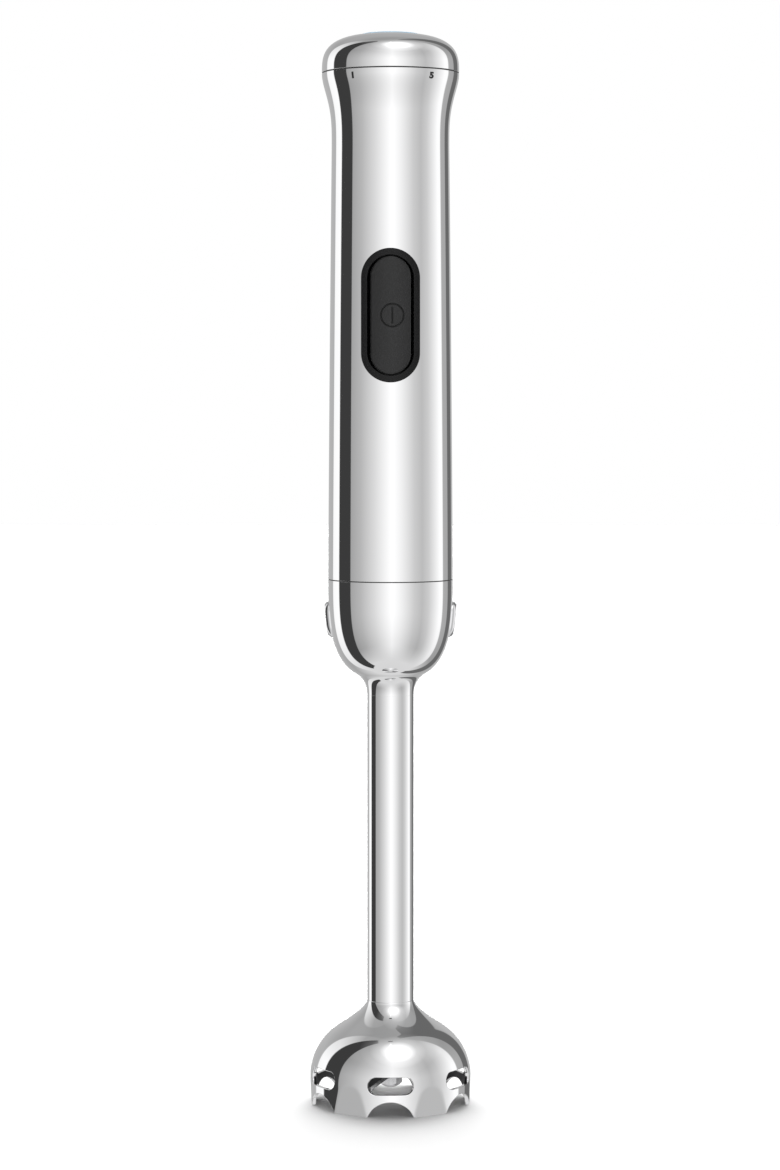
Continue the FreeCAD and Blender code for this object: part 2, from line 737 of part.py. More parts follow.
# levels and radii inside the motor unit
SPIGOT_R = BOWL_R - BOWL_WALL - CLEAR
Z_SEAL_RING = Z_SEAM - SPIGOT_LEN / 2
Z_PLATE0 = Z_SLEEVE0 + PLATE_INSET
Z_PLATE1 = Z_PLATE0 + PLATE_T
Z_CAN0 = Z_PLATE1
Z_CAN1 = Z_CAN0 + MOTOR_LEN
Z_CAP1 = Z_CAN1 + CAP_T
Z_BOSS1 = Z_CAP1 + CAP_BOSS_H
Z_ARM0 = Z_CAN0 + ARMATURE_INSET
Z_ARM1 = Z_CAN1 - ARMATURE_INSET
CHASSIS_R = sleeve_bore(Z_WAIST) - CHASSIS_CLEAR
CHASSIS_BORE = CHASSIS_R - CHASSIS_WALL
Z_CHASSIS0 = Z_PLATE1 + CHASSIS_LIFT
Z_CHASSIS1 = Z_SLEEVE1 - CHASSIS_DROP
Z_FLOOR = Z_BOSS1 + BULKHEAD_T / 2
Z_BATTERY0 = Z_FLOOR + BULKHEAD_T + BOSS_H
Z_BATTERY1 = Z_BATTERY0 + CELL_LEN
Z_ROOF = Z_BATTERY1 + CHASSIS_LIFT + COMPONENT_GAP
CELL_CIRCLE = 2 * (CELL_R + CELL_GAP / 2) / math.sqrt(3)
BOARD_Y = CELL_CIRCLE * math.sin(math.radians(210)) - CELL_R - BOARD_AIR - BOARD_T  # its front face
Z_BOARD0 = Z_BUTTON - BEZEL_L / 2
Z_BOARD1 = Z_BOARD0 + BOARD_L
PAD_BACK_Y = BOARD_Y - SWITCH_AIR - BUTTON_TRAVEL - PAD_FLANGE_T  # front of the pad's flange at rest
PAD_FACE_Y = -(sleeve_radius(Z_BUTTON) + PAD_PROUD)
PLUNGER_Y = BOARD_Y - SWITCH_T - BUTTON_TRAVEL - SWITCH_AIR
JACK_FACE_Y = sleeve_radius(Z_JACK) - JACK_SUNK


def cell_centre(angle):
    """Where one cell's axis is, at level 0."""
    return V(*(CELL_CIRCLE * f(math.radians(angle)) for f in (math.cos, math.sin)), 0)


def motor_collar():
    """The plastic piece that closes the sleeve, centres it in the bowl, and carries the latch ring."""
    plate = cylinder(sleeve_bore(Z_PLATE1) - SEAT, Z_PLATE0, Z_PLATE1)
    spigot = cylinder(SPIGOT_R, Z_SEAM - SPIGOT_LEN, Z_PLATE0 + PAST)
    groove = ring(SPIGOT_R + PAST, SPIGOT_R - SEAL_T, Z_SEAL_RING - SEAL_T / 2, Z_SEAL_RING + SEAL_T / 2)
    skirt = cylinder(LATCH_RING_R, Z_RING0, Z_PLATE0)
    collar = plate.fuse(spigot.cut(groove)).fuse(skirt).removeSplitter()
    collar = collar.cut(cylinder(LATCH_RING_BORE, Z_RING0 - PAST, Z_PLATE0))
    side = LATCH_W / 2 + WINDOW_AIR
    low, top = Z_NOSE0 - WINDOW_UNDER, Z_NOSE0 + STEM_H + WINDOW_OVER
    window = block(0, LATCH_RING_R + OUT, -side, side, low, top)
    collar = collar.cut(window).cut(turned(window, 180))
    collar = collar.cut(cylinder(COLLAR_BORE, Z_PLATE0 - PAST, Z_PLATE1 + PAST))
    for y in (-MOTOR_SCREW_AT, MOTOR_SCREW_AT):
        collar = collar.cut(cylinder(SCREW_R + SCREW_AIR, Z_PLATE0 - PAST, Z_PLATE1 + PAST, 0, y))
        head = Z_PLATE0 + PLATE_INSET + HEAD_H
        collar = collar.cut(cylinder(HEAD_R + SCREW_AIR, Z_PLATE0 - PAST, head, 0, y))
    return collar


def collar_seal():
    """The rubber ring in the spigot's groove."""
    low, top = Z_SEAL_RING - SEAL_T / 2, Z_SEAL_RING + SEAL_T / 2
    return ring(SPIGOT_R + SEAT, SPIGOT_R - SEAL_T, low, top)


def motor_can():
    """The drawn steel can, closed at the drive end round a bearing boss."""
    floor = Z_CAN0 + MOTOR_FLOOR
    can = cylinder(MOTOR_R, Z_CAN0, Z_CAN1)
    can = can.cut(cylinder(MOTOR_R - MOTOR_WALL, floor, Z_CAN1 + PAST))
    can = can.fuse(cylinder(MOTOR_BOSS_R, Z_CAN0 - MOTOR_BOSS_H, floor)).removeSplitter()
    can = can.cut(cylinder(BUSH_R, Z_CAN0 - MOTOR_BOSS_H - PAST, floor + PAST))
    for y in (-MOTOR_SCREW_AT, MOTOR_SCREW_AT):
        can = can.cut(cylinder(SCREW_R, Z_CAN0 - PAST, floor + PAST, 0, y))
    return can


def motor_magnets():
    """Two arc magnets inside the can."""
    r_out = MOTOR_R - MOTOR_WALL - SEAT
    tube = ring(r_out, ARMATURE_R + MAGNET_GAP, Z_ARM0 - MAGNET_OVER, Z_ARM1 + MAGNET_OVER)
    return tube.cut(block(-MAGNET_SPLIT / 2, MAGNET_SPLIT / 2, -MOTOR_R, MOTOR_R, Z_CAN0, Z_CAN1))


def motor_end_cap():
    """The nylon cap at the brush end."""
    cap = cylinder(MOTOR_R, Z_CAN1, Z_CAP1)
    cap = cap.fuse(cylinder(MOTOR_R - MOTOR_WALL - SEAT, Z_CAN1 - CAP_SPIGOT, Z_CAN1 + PAST))
    cap = cap.fuse(cylinder(CAP_BOSS_R, Z_CAP1 - PAST, Z_BOSS1)).removeSplitter()
    return cap.cut(cylinder(BUSH_R, Z_CAN1 - OUT, Z_BOSS1 - CAP_FLOOR))


def motor_brushes():
    """Two carbon brushes at the commutator."""
    reach, top = COMMUTATOR_R + RUNNING, Z_CAN1 - CAP_SPIGOT - SEAT
    one = block(reach, reach + BRUSH_L, -BRUSH_W / 2, BRUSH_W / 2, top - BRUSH_H, top)
    return Part.makeCompound([one, turned(one, 180)])


def motor_bushes():
    """The motor's two plain bearings."""
    low = (Z_CAN0 - MOTOR_BOSS_H, Z_CAN0 + MOTOR_FLOOR)
    high = (Z_CAN1 - CAP_SPIGOT + SEAT, Z_BOSS1 - CAP_FLOOR - SEAT)
    return Part.makeCompound([ring(BUSH_R - 0.01, MOTOR_SHAFT_R + RUNNING, *span) for span in (low, high)])


def motor_screws():
    """Two screws that hold the motor to the collar, each with a cross recess."""
    screws = []
    under = Z_PLATE0 + PLATE_INSET
    for y in (-MOTOR_SCREW_AT, MOTOR_SCREW_AT):
        shank = cylinder(SCREW_R, under + HEAD_H / 2, Z_CAN0 + MOTOR_FLOOR, 0, y)
        head = cylinder(HEAD_R, under, under + HEAD_H, 0, y)
        half = DRIVE_SLOT_W / 2
        recess = block(-half, half, y - SCREW_R, y + SCREW_R, under - PAST, under + DRIVE_SLOT_D)
        screw = shank.fuse(head).cut(recess).cut(turned(recess, 90, UP, V(0, y, 0)))
        screws.append(screw.removeSplitter())
    return Part.makeCompound(screws)


def motor_shaft():
    """The rotor's shaft, from the driver's floor up into the end cap."""
    return cylinder(MOTOR_SHAFT_R, Z_DRIVEN_SOCKET + DOG_LIFT + DOG_FLOOR, Z_BOSS1 - 2 * CAP_FLOOR)


def armature_core():
    """The laminated core with its winding slots."""
    low, top = Z_ARM0 - PAST, Z_ARM1 + PAST
    core = ring(ARMATURE_R, MOTOR_SHAFT_R, Z_ARM0, Z_ARM1)
    mouth = block(SLOT_AT, ARMATURE_R + PAST, -SLOT_MOUTH / 2, SLOT_MOUTH / 2, low, top)
    slot = mouth.fuse(cylinder(SLOT_R, low, top, SLOT_AT, 0))
    for k in range(POLES):
        core = core.cut(turned(slot, 360 / POLES * k))
    return core


def armature_windings():
    """The copper that fills the slots and turns over the core's two ends."""
    r_out, r_in = ARMATURE_R - WINDING_INSET, MOTOR_SHAFT_R + 2 * RUNNING + WINDING_INSET
    copper = ring(r_out, r_in, Z_ARM0 - WINDING_H, Z_ARM0)
    copper = copper.fuse(ring(r_out, r_in, Z_ARM1, Z_ARM1 + WINDING_H))
    slot = cylinder(SLOT_FILL_R, Z_ARM0 - PAST, Z_ARM1 + PAST, SLOT_AT, 0)
    for k in range(POLES):
        copper = copper.fuse(turned(slot, 360 / POLES * k))
    return copper.removeSplitter()


def boss_places():
    """Where the chassis screws go: (x, z) of each."""
    rise = BULKHEAD_T + BOSS_H / 2 - WINDOW_UNDER
    return [(x, z + rise) for z in (Z_FLOOR, Z_ROOF) for x in (-BOSS_X, BOSS_X)]


def chassis_half(side):
    """The front (side -1) or rear (side 1) half of the inner carrier: bulkheads, ribs and screw bosses."""
    tube = ring(CHASSIS_R, CHASSIS_BORE, Z_CHASSIS0, Z_CHASSIS1)
    root = CHASSIS_BORE + CHASSIS_WALL / 2
    for z in (Z_CAN0 + RIB_INSET, (Z_CAN0 + Z_CAN1) / 2, Z_CAN1 - RIB_INSET):
        tube = tube.fuse(ring(root, MOTOR_R + SEAT, z - RIB_T / 2, z + RIB_T / 2))
    half_w = BOSS_W / 2
    for z in (Z_FLOOR, Z_ROOF):
        tube = tube.fuse(ring(root, BULKHEAD_BORE, z, z + BULKHEAD_T))
        low, top = z + BULKHEAD_T / 2, z + BULKHEAD_T + BOSS_H - CLEAR
        for x in (-BOSS_X, BOSS_X):
            tube = tube.fuse(block(x - half_w, x + half_w, -BOSS_D, BOSS_D, low, top))
    room = block(-FLARE_R, FLARE_R, CHASSIS_SPLIT, FLARE_R, 0, Z_TOP)
    half = tube.common(room if side > 0 else turned(room, 180))
    for x, z in boss_places():
        shank = SCREW_R if side > 0 else SCREW_R + SCREW_AIR
        half = half.cut(along_y(shank, -BOSS_D - PAST, CHASSIS_SCREW_TIP + CLEAR, x, z))
        half = half.cut(along_y(HEAD_R + SCREW_AIR, -BOSS_D - OUT, -CHASSIS_SCREW_TIP, x, z))
    if side < 0:
        reach = (BEZEL_W + BOARD_T) / 2
        low, top = Z_BUTTON - BEZEL_L / 2 - PAST, Z_BUTTON + BEZEL_L / 2 + PAST
        half = half.cut(block(-reach, reach, -FLARE_R, -CELL_R, low, top))
        edge = BOARD_W / 2 + CLEAR
        y0, y1 = BOARD_Y - CLEAR, BOARD_Y + BOARD_T + CLEAR
        half = half.cut(block(-edge, edge, y0, y1, Z_BOARD0 - CLEAR, Z_BOARD1 + CLEAR))
    else:
        half = half.cut(along_y(JACK_NOSE_R + CLEAR, OUT, FLARE_R, 0, Z_JACK))
    return half.removeSplitter()


def chassis_screws():
    """Four screws that clamp the chassis halves together."""
    screws = []
    neck_y = -CHASSIS_SCREW_TIP
    face_y = neck_y - CHASSIS_SCREW_HEAD
    for x, z in boss_places():
        screw = along_y(SCREW_R, neck_y - PAST, CHASSIS_SCREW_TIP, x, z)
        screw = screw.fuse(along_y(HEAD_R, face_y, neck_y, x, z))
        half = DRIVE_SLOT_W / 2
        slot = block(x - HEAD_R, x + HEAD_R, face_y - PAST, face_y + DRIVE_SLOT_D, z - half, z + half)
        screws.append(screw.cut(slot).removeSplitter())
    return Part.makeCompound(screws)


def battery_cell(angle):
    """One cell of the pack, with its raised positive end."""
    centre = cell_centre(angle)
    top = Z_BATTERY1 - TAB_SINK - CELL_CAP_H
    cell = cylinder(CELL_R, Z_BATTERY0 + TAB_T + RUNNING, top, centre.x, centre.y)
    cap = cylinder(CELL_CAP_R, top - CELL_CAP_H, Z_BATTERY1 - TAB_SINK, centre.x, centre.y)
    return cell.fuse(cap).removeSplitter()


def battery_tabs():
    """Nickel strips that join the cells, one at each end of the pack."""
    centres = [cell_centre(angle) for angle in CELL_ANGLES]
    strips = []
    half = TAB_W / 2
    for z0, pair in ((Z_BATTERY0, (0, 1)), (Z_BATTERY1 - TAB_SINK, (1, 2))):
        along = centres[pair[1]] - centres[pair[0]]
        strip = block(-half, along.Length + half, -half, half, z0, z0 + TAB_T)
        strip = turned(strip, math.degrees(math.atan2(along.y, along.x)))
        strip.translate(centres[pair[0]])
        strips.append(strip)
    return Part.makeCompound(strips)


def control_board():
    """The circuit board in front of the cells, behind the switch."""
    return block(-BOARD_W / 2, BOARD_W / 2, BOARD_Y, BOARD_Y + BOARD_T, Z_BOARD0, Z_BOARD1)


def component(k):
    """The block of one of the three components in a row on the board, above the switch."""
    reach = math.sqrt(CHASSIS_BORE**2 - (BOARD_Y - COMPONENT_H) ** 2) - CLEAR
    width = 2 * (reach - COMPONENT_GAP) / 3
    x = -reach + k * (width + COMPONENT_GAP)
    z = Z_BUTTON + BEZEL_L / 2 + COMPONENT_RISE
    return block(x, x + width, BOARD_Y - COMPONENT_H, BOARD_Y, z, z + COMPONENT_L)


def board_connector():
    """The socket that brings the dial's and the inlet's leads to the board, open to the front."""
    body = component(2)
    box, wall = body.BoundBox, CONNECTOR_WALL
    x0, x1, z0, z1 = box.XMin + wall, box.XMax - wall, box.ZMin + wall, box.ZMax - wall
    return body.cut(block(x0, x1, box.YMin - PAST, box.YMax - wall, z0, z1))


def bezel_prism(inset, y1):
    """The bezel's stadium, smaller by an inset all round, from outside the sleeve to a plane."""
    return stadium(BEZEL_W - 2 * inset, BEZEL_L - 2 * inset, Z_BUTTON, -FLARE_R - OUT, y1)


def switch_bezel():
    """The black surround: a flange that follows the sleeve, and a frame through its opening."""
    skin = sleeve_curve()
    proud = filled(meridian(offset(skin, -BEZEL_PROUD)))
    flange = bezel_prism(0, -WAIST_R / 2).common(proud).cut(filled(skin))
    frame = bezel_prism(BEZEL_LAND + CLEAR, PAD_BACK_Y - SEAT).common(proud)
    inside = stadium(PAD_W + 4 * CLEAR, PAD_L + 4 * CLEAR, Z_BUTTON, -FLARE_R - OUT, 0)
    return flange.fuse(frame).cut(inside).removeSplitter()


def power_button():
    """The soft pad: its face follows the sleeve, and a flange behind the bezel keeps it in."""
    proud = filled(meridian(offset(sleeve_curve(), -PAD_PROUD)))
    back = PAD_BACK_Y + PAD_FLANGE_T
    pad = stadium(PAD_W, PAD_L, Z_BUTTON, -FLARE_R - OUT, back).common(proud)
    pad = pad.fuse(stadium(PAD_W + 2 * PAD_FLANGE, PAD_L + 2 * PAD_FLANGE, Z_BUTTON, PAD_BACK_Y, back))
    hollow = stadium(PAD_W - 2 * PAD_RIM, PAD_L - 2 * PAD_RIM, Z_BUTTON, PAD_FACE_Y + PAD_SKIN, 0)
    post = along_y(PLUNGER_R + COMPONENT_GAP, PAD_FACE_Y + PAST, PLUNGER_Y, 0, Z_BUTTON)
    pad = pad.cut(hollow).fuse(post)
    front, floor = PAD_FACE_Y - PAST, PAD_FACE_Y + ICON_DEPTH
    icon = along_y(ICON_R, front, floor, 0, Z_BUTTON)
    icon = icon.cut(along_y(ICON_R - ICON_LINE, front - PAST, floor + PAST, 0, Z_BUTTON))
    half, tall = ICON_LINE / 2, ICON_BAR / 2
    bar = block(-half, half, front, floor, Z_BUTTON - tall, Z_BUTTON + tall)
    return pad.cut(icon).cut(bar).removeSplitter()


def switch_plunger():
    """The switch's moving plunger."""
    return along_y(PLUNGER_R, PLUNGER_Y, BOARD_Y - BUTTON_TRAVEL - 2 * CLEAR, 0, Z_BUTTON)


def switch_body():
    """The switch's housing on the board, bored for its plunger."""
    front = BOARD_Y - SWITCH_T
    low, top = Z_BUTTON - SWITCH_L / 2, Z_BUTTON + SWITCH_L / 2
    body = block(-SWITCH_W / 2, SWITCH_W / 2, front, BOARD_Y, low, top)
    return body.cut(along_y(PLUNGER_R + SEAT, front - PAST, BOARD_Y - CLEAR, 0, Z_BUTTON))


def button_springs():
    """Two coil springs between the pad and the board."""
    start = PAD_FACE_Y + PAD_SKIN + RUNNING
    length = BOARD_Y - RUNNING - start - 2 * SPRING_WIRE_R
    pitch = length / SPRING_TURNS
    along = V(0, 2 * math.pi * SPRING_R, pitch)
    springs = []
    for z in (Z_BUTTON - SPRING_SPREAD / 2, Z_BUTTON + SPRING_SPREAD / 2):
        helix = Part.makeHelix(pitch, length, SPRING_R)
        section = Part.Wire([Part.Circle(V(SPRING_R, 0, 0), along, SPRING_WIRE_R).toShape()])
        coil = Part.Wire(helix.Edges).makePipeShell([section], True, True)
        coil = turned(coil, -90, V(1, 0, 0))
        coil.translate(V(0, start + SPRING_WIRE_R, z))
        springs.append(coil)
    return Part.makeCompound(springs)


def charge_jack():
    """The charging inlet's body, with a round nose through the sleeve."""
    floor = JACK_FACE_Y - JACK_DEPTH
    back = CHASSIS_BORE - JACK_BACK
    half, tall = JACK_BODY_W / 2, JACK_BODY_H / 2
    body = block(-half, half, floor - JACK_FLOOR, back, Z_JACK - tall, Z_JACK + tall)
    body = body.fuse(along_y(JACK_NOSE_R, back - PAST, JACK_FACE_Y, 0, Z_JACK)).removeSplitter()
    return body.cut(along_y(JACK_BORE_R, floor, JACK_FACE_Y + PAST, 0, Z_JACK))


def jack_pin():
    """The inlet's centre pin."""
    return along_y(JACK_PIN_R, JACK_FACE_Y - JACK_DEPTH, JACK_FACE_Y - JACK_PIN_SUNK, 0, Z_JACK)


# ---------------------------------------------------------------- speed dial

Z_SEAT1 = Z_SLEEVE1 - SEAT_SINK
Z_SEAT0 = Z_SEAT1 - SEAT_T
Z_SENSOR1 = Z_SEAT0 - SENSOR_GAP
Z_CARRIER_DISC = Z_DIAL0 + CARRIER_DISC_RISE
Z_DIAL_SHAFT1 = Z_CARRIER_DISC + DIAL_HUB_H


def dial_seat():
    """The fixed plate that closes the top of the sleeve and carries the dial."""
    seat = cylinder(sleeve_bore(Z_SEAT0) - SEAT, Z_SEAT0, Z_SEAT1)
    skirt = ring(CHASSIS_R, CHASSIS_BORE, Z_CHASSIS1 + SEAT, Z_SEAT0)
    seat = seat.fuse(skirt).removeSplitter()
    return seat.cut(cylinder(DIAL_SHAFT_R + SENSOR_NECK_WALL + SEAT, Z_SEAT0 - PAST, Z_SEAT1 + PAST))


def speed_sensor():
    """The rotary sensor under the seat, bored for the dial's shaft."""
    body = cylinder(SENSOR_R, Z_SENSOR1 - SENSOR_H, Z_SENSOR1)
    body = body.fuse(cylinder(DIAL_SHAFT_R + SENSOR_NECK_WALL, Z_SENSOR1 - PAST, Z_SEAT1 - 2 * SEAT))
    body = body.fuse(cylinder(SENSOR_NECK_R, Z_SENSOR1 - PAST, Z_SEAT0 - RUNNING)).removeSplitter()
    floor = Z_SENSOR1 - DIAL_SHAFT_DEPTH - PAST
    return body.cut(cylinder(DIAL_SHAFT_R + RUNNING, floor, Z_SEAT1 + PAST))


def led_board():
    """The ring board on the seat that carries the lamps."""
    return ring(LED_BOARD_R, LED_BOARD_BORE, Z_SEAT1, Z_SEAT1 + LED_BOARD_T)


def led_lamps():
    """The blue lamps on the ring board."""
    z, half = Z_SEAT1 + LED_BOARD_T, LAMP_W / 2
    lamp = block(LAMP_AT - half, LAMP_AT + half, -half, half, z, z + LAMP_H)
    return Part.makeCompound([turned(lamp, 360 / LAMPS * k) for k in range(LAMPS)])


def glide_ring():
    """The slip ring between the seat and the dial."""
    return ring(GLIDE_R, GLIDE_R - GLIDE_W, Z_SEAT1, Z_CARRIER_DISC - SEAT)


def dial_cap():
    """The domed metal cap, open at its crown for the lens, with a dimple as its pointer."""
    outer = dial_curve()
    inner = meridian(offset(outer, DIAL_WALL)[:-1] + [(0.0, Z_TOP - DIAL_WALL)])
    cap = filled(outer).cut(filled(inner))
    cap = cap.cut(cylinder(LENS_R + RUNNING, Z_DIAL0 + DIAL_H / 2, Z_TOP + PAST))
    dot = cylinder(POINTER_R, Z_TOP - POINTER_DROP, Z_TOP, POINTER_AT, 0)
    return cap.cut(turned(dot, -90 - DIAL_RANGE / 2))


def dial_lens():
    """The blue lens in the crown, slightly proud of the cap."""
    crown = filled(dial_curve())
    crown.translate(V(0, 0, LENS_PROUD))
    return crown.common(cylinder(LENS_R, Z_TOP - LENS_T, Z_TOP + LENS_PROUD + PAST))


def dial_carrier():
    """The plastic core that joins the cap to its shaft, with windows for the light."""
    low, top = Z_CARRIER_DISC, Z_CARRIER_DISC + CARRIER_DISC_T
    body = cylinder(FLARE_R - DIAL_WALL - COMPONENT_GAP, low, top)
    body = body.fuse(cylinder(DIAL_HUB_R, low, Z_DIAL_SHAFT1)).removeSplitter()
    window = ring(WINDOW_R, WINDOW_BORE, low - PAST, top + PAST)
    spoke = block(0, WINDOW_R + PAST, -SPOKE_W / 2, SPOKE_W / 2, low - 2 * PAST, top + 2 * PAST)
    for k in range(SPOKES):
        window = window.cut(turned(spoke, 360 / SPOKES * k))
    return body.cut(window).cut(cylinder(DIAL_SHAFT_R, low - PAST, Z_DIAL_SHAFT1 + PAST))


def light_guide():
    """The clear ring that takes the lamps' light up to the lens."""
    r_out = LENS_R - WINDOW_UNDER
    low = Z_CARRIER_DISC + CARRIER_DISC_T + SEAT
    return ring(r_out, r_out - GUIDE_WALL, low, Z_TOP - LENS_T - RUNNING)


def dial_shaft():
    """The dial's shaft down into the sensor, tapped for the dial's screw."""
    shaft = cylinder(DIAL_SHAFT_R, Z_SENSOR1 - DIAL_SHAFT_DEPTH, Z_DIAL_SHAFT1)
    return shaft.cut(cylinder(SCREW_R, Z_DIAL_SHAFT1 - DIAL_SCREW_L - PAST, Z_DIAL_SHAFT1 + PAST))


def dial_screw():
    """The screw that keeps the carrier on its shaft."""
    top = Z_DIAL_SHAFT1 + HEAD_H
    screw = cylinder(SCREW_R, Z_DIAL_SHAFT1 - DIAL_SCREW_L, Z_DIAL_SHAFT1 + HEAD_H / 2)
    screw = screw.fuse(cylinder(HEAD_R, Z_DIAL_SHAFT1, top))
    half = DRIVE_SLOT_W / 2
    return screw.cut(block(-HEAD_R, HEAD_R, -half, half, top - DRIVE_SLOT_D, top + PAST)).removeSplitter()


# ---------------------------------------------------------------- all sub-parts


def sub_parts():
    """Every node's name and its solids."""
    parts = {
        "blade_guard": blade_guard(),
        "shaft_tube": ring(TUBE_R, TUBE_BORE_R, Z_TUBE0, Z_TUBE1),
        "coupling_bowl": coupling_bowl(),
        "latch_carrier": latch_carrier(),
        "latch_spring_right": latch_spring(),
        "latch_spring_left": turned(latch_spring(), 180),
        "release_button_right": release_button(),
        "release_button_left": turned(release_button(), 180),
        "shaft_hub": shaft_hub(),
        "shaft_seal": ring(BUSH_R + SEAL_WALL, SHAFT_R + SEAT, Z_SEAL0, Z_SEAL1),
        "seal_cover": ring(HUB_COLLAR_R, SHAFT_R + SHAFT_AIR, Z_COVER, Z_HUB0),
        "shaft_bushes": Part.makeCompound(
            [ring(BUSH_R, SHAFT_R + RUNNING, z, z + BUSH_LEN) for z in (Z_LOWER_BUSH, Z_UPPER_BUSH)]
        ),
        "drive_shaft": drive_shaft(),
        "shaft_circlip": ring(SHAFT_R + CIRCLIP_W, SHAFT_R, Z_CIRCLIP, Z_CIRCLIP + CIRCLIP_T),
        "driven_coupling": driven_coupling(),
        "blade": blade(),
        "blade_spacer": ring(SPACER_R, SHAFT_END_R, BLADE_Z + BLADE_T, Z_SHOULDER),
        "blade_nut": blade_nut(),
        "handle_sleeve": handle_sleeve(),
        "motor_collar": motor_collar(),
        "collar_seal": collar_seal(),
        "motor_can": motor_can(),
        "motor_magnets": motor_magnets(),
        "motor_end_cap": motor_end_cap(),
        "motor_brushes": motor_brushes(),
        "motor_bushes": motor_bushes(),
        "motor_screws": motor_screws(),
        "motor_shaft": motor_shaft(),
        "armature_core": armature_core(),
        "armature_windings": armature_windings(),
        "commutator": ring(COMMUTATOR_R, MOTOR_SHAFT_R, Z_ARM1 + COMMUTATOR_RISE, Z_CAN1 - CAP_SPIGOT - SEAT),
        "drive_dog": drive_dog(),
        "chassis_front": chassis_half(-1),
        "chassis_rear": chassis_half(1),
        "chassis_screws": chassis_screws(),
        "battery_tabs": battery_tabs(),
        "control_board": control_board(),
        "power_transistors": Part.makeCompound([component(0), component(1)]),
        "board_connector": board_connector(),
        "switch_body": switch_body(),
        "switch_bezel": switch_bezel(),
        "power_button": power_button(),
        "switch_plunger": switch_plunger(),
        "button_springs": button_springs(),
        "charge_jack": charge_jack(),
        "jack_pin": jack_pin(),
        "dial_seat": dial_seat(),
        "glide_ring": glide_ring(),
        "speed_sensor": speed_sensor(),
        "led_board": led_board(),
        "led_lamps": led_lamps(),
        "dial_cap": dial_cap(),
        "dial_lens": dial_lens(),
        "light_guide": light_guide(),
        "dial_carrier": dial_carrier(),
        "dial_shaft": dial_shaft(),
        "dial_screw": dial_screw(),
    }
    return parts | {f"battery_cell_{k + 1}": battery_cell(a) for k, a in enumerate(CELL_ANGLES)}


def main():
    os.makedirs("parts", exist_ok=True)
    for name, shape in sub_parts().items():
        if not shape.isValid() or not shape.Solids:
            raise ValueError(f"{name} is not a valid solid")
        if len(shape.Solids) == 1:
            shape = shape.Solids[0]
        shape.exportStep(f"parts/{name}.step")


main()
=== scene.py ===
import json
import math

import bmesh
import bpy
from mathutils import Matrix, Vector


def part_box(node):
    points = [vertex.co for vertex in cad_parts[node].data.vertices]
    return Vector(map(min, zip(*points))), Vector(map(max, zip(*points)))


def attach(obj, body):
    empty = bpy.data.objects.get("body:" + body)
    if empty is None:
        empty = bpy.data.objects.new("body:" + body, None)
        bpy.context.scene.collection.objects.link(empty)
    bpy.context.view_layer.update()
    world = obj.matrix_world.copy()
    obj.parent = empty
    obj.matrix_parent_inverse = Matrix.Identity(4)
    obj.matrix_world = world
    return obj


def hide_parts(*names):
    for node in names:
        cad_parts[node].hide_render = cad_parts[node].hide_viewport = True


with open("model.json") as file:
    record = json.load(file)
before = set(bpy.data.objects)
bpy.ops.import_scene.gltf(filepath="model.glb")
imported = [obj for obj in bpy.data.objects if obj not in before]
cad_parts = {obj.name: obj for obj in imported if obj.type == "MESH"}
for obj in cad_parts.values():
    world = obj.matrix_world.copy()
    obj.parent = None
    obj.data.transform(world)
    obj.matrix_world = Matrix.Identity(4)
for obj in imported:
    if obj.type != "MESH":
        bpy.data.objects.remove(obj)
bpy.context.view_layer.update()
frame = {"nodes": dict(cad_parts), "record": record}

MM = 0.001


# ------------------------------------------------------------ sizes, read from the frame


def half_width(node):
    """Half of a node's larger width, in millimetres: a lathed node's radius."""
    lo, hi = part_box(node)
    return max(hi.x - lo.x, hi.y - lo.y) / 2 / MM


def levels(node):
    """A node's lowest and highest level, in millimetres."""
    lo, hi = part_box(node)
    return lo.z / MM, hi.z / MM


BELL_R = half_width("blade_guard")
TUBE_R = half_width("shaft_tube")
BOWL_R = half_width("coupling_bowl")
FLARE_R = half_width("dial_cap")
LENS_R = half_width("dial_lens")
Z_TUBE0, Z_TUBE1 = levels("shaft_tube")
Z_SEAM = levels("coupling_bowl")[1]
Z_SLEEVE0, Z_SLEEVE1 = levels("handle_sleeve")
Z_DIAL0 = levels("dial_cap")[0]
Z_LENS = levels("dial_lens")[1]
Z_BUTTON = sum(levels("switch_bezel")) / 2
Z_RELEASE = sum(levels("release_button_right")) / 2
BEZEL_W = (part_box("switch_bezel")[1].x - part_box("switch_bezel")[0].x) / MM
BEZEL_L = levels("switch_bezel")[1] - levels("switch_bezel")[0]
Z_JACK = sum(levels("jack_pin")) / 2

BELL_SHOULDER_H = 8.0
BELL_DOME_H = 26.9
BELL_POWER = 2.25
BELL_NECK_R = 20.0
BELL_LEAN, BELL_SETTLE = 0.8, 0.8
BELL_WALL, BOWL_WALL, SLEEVE_WALL, DIAL_WALL = 1.6, 1.2, 0.9, 1.0
BOWL_DEPTH = 39.3
BOWL_POWER = 3.0
BOWL_NECK_R = 13.4
BOWL_LEAN, BOWL_SETTLE = 0.5, 1.3
WAIST_R = 23.1
TAPER_POWER = 1.3
FLARE_LEN = 28.5
FLARE_POWER = 1.8
DIAL_POWER = 3.1
LENS_GAP = 0.05
LENS_CROWN = 0.3
LOBES = 6
LOBE_ANGLE = 26.4
FLAT_TILT = math.radians(3.3)
ARCH_H = 6.1
SLOT_W, SLOT_H, SLOT_Z = 18.0, 6.8, 12.2
FLAT_BLEND = 0.12
JACK_HOLE_R = 4.125
RELEASE_L, RELEASE_W, RELEASE_PROUD, RELEASE_GAP = 14.0, 9.0, 1.6, 0.25
PAD_W, PAD_L, PAD_PROUD, PAD_EDGE = 15.9, 45.9, 0.75, 0.8
BEZEL_BORE_W, BEZEL_BORE_L, BEZEL_PROUD = 18.0, 46.6, 0.45
BEZEL_EDGE, BEZEL_LAP = 0.35, 1.0
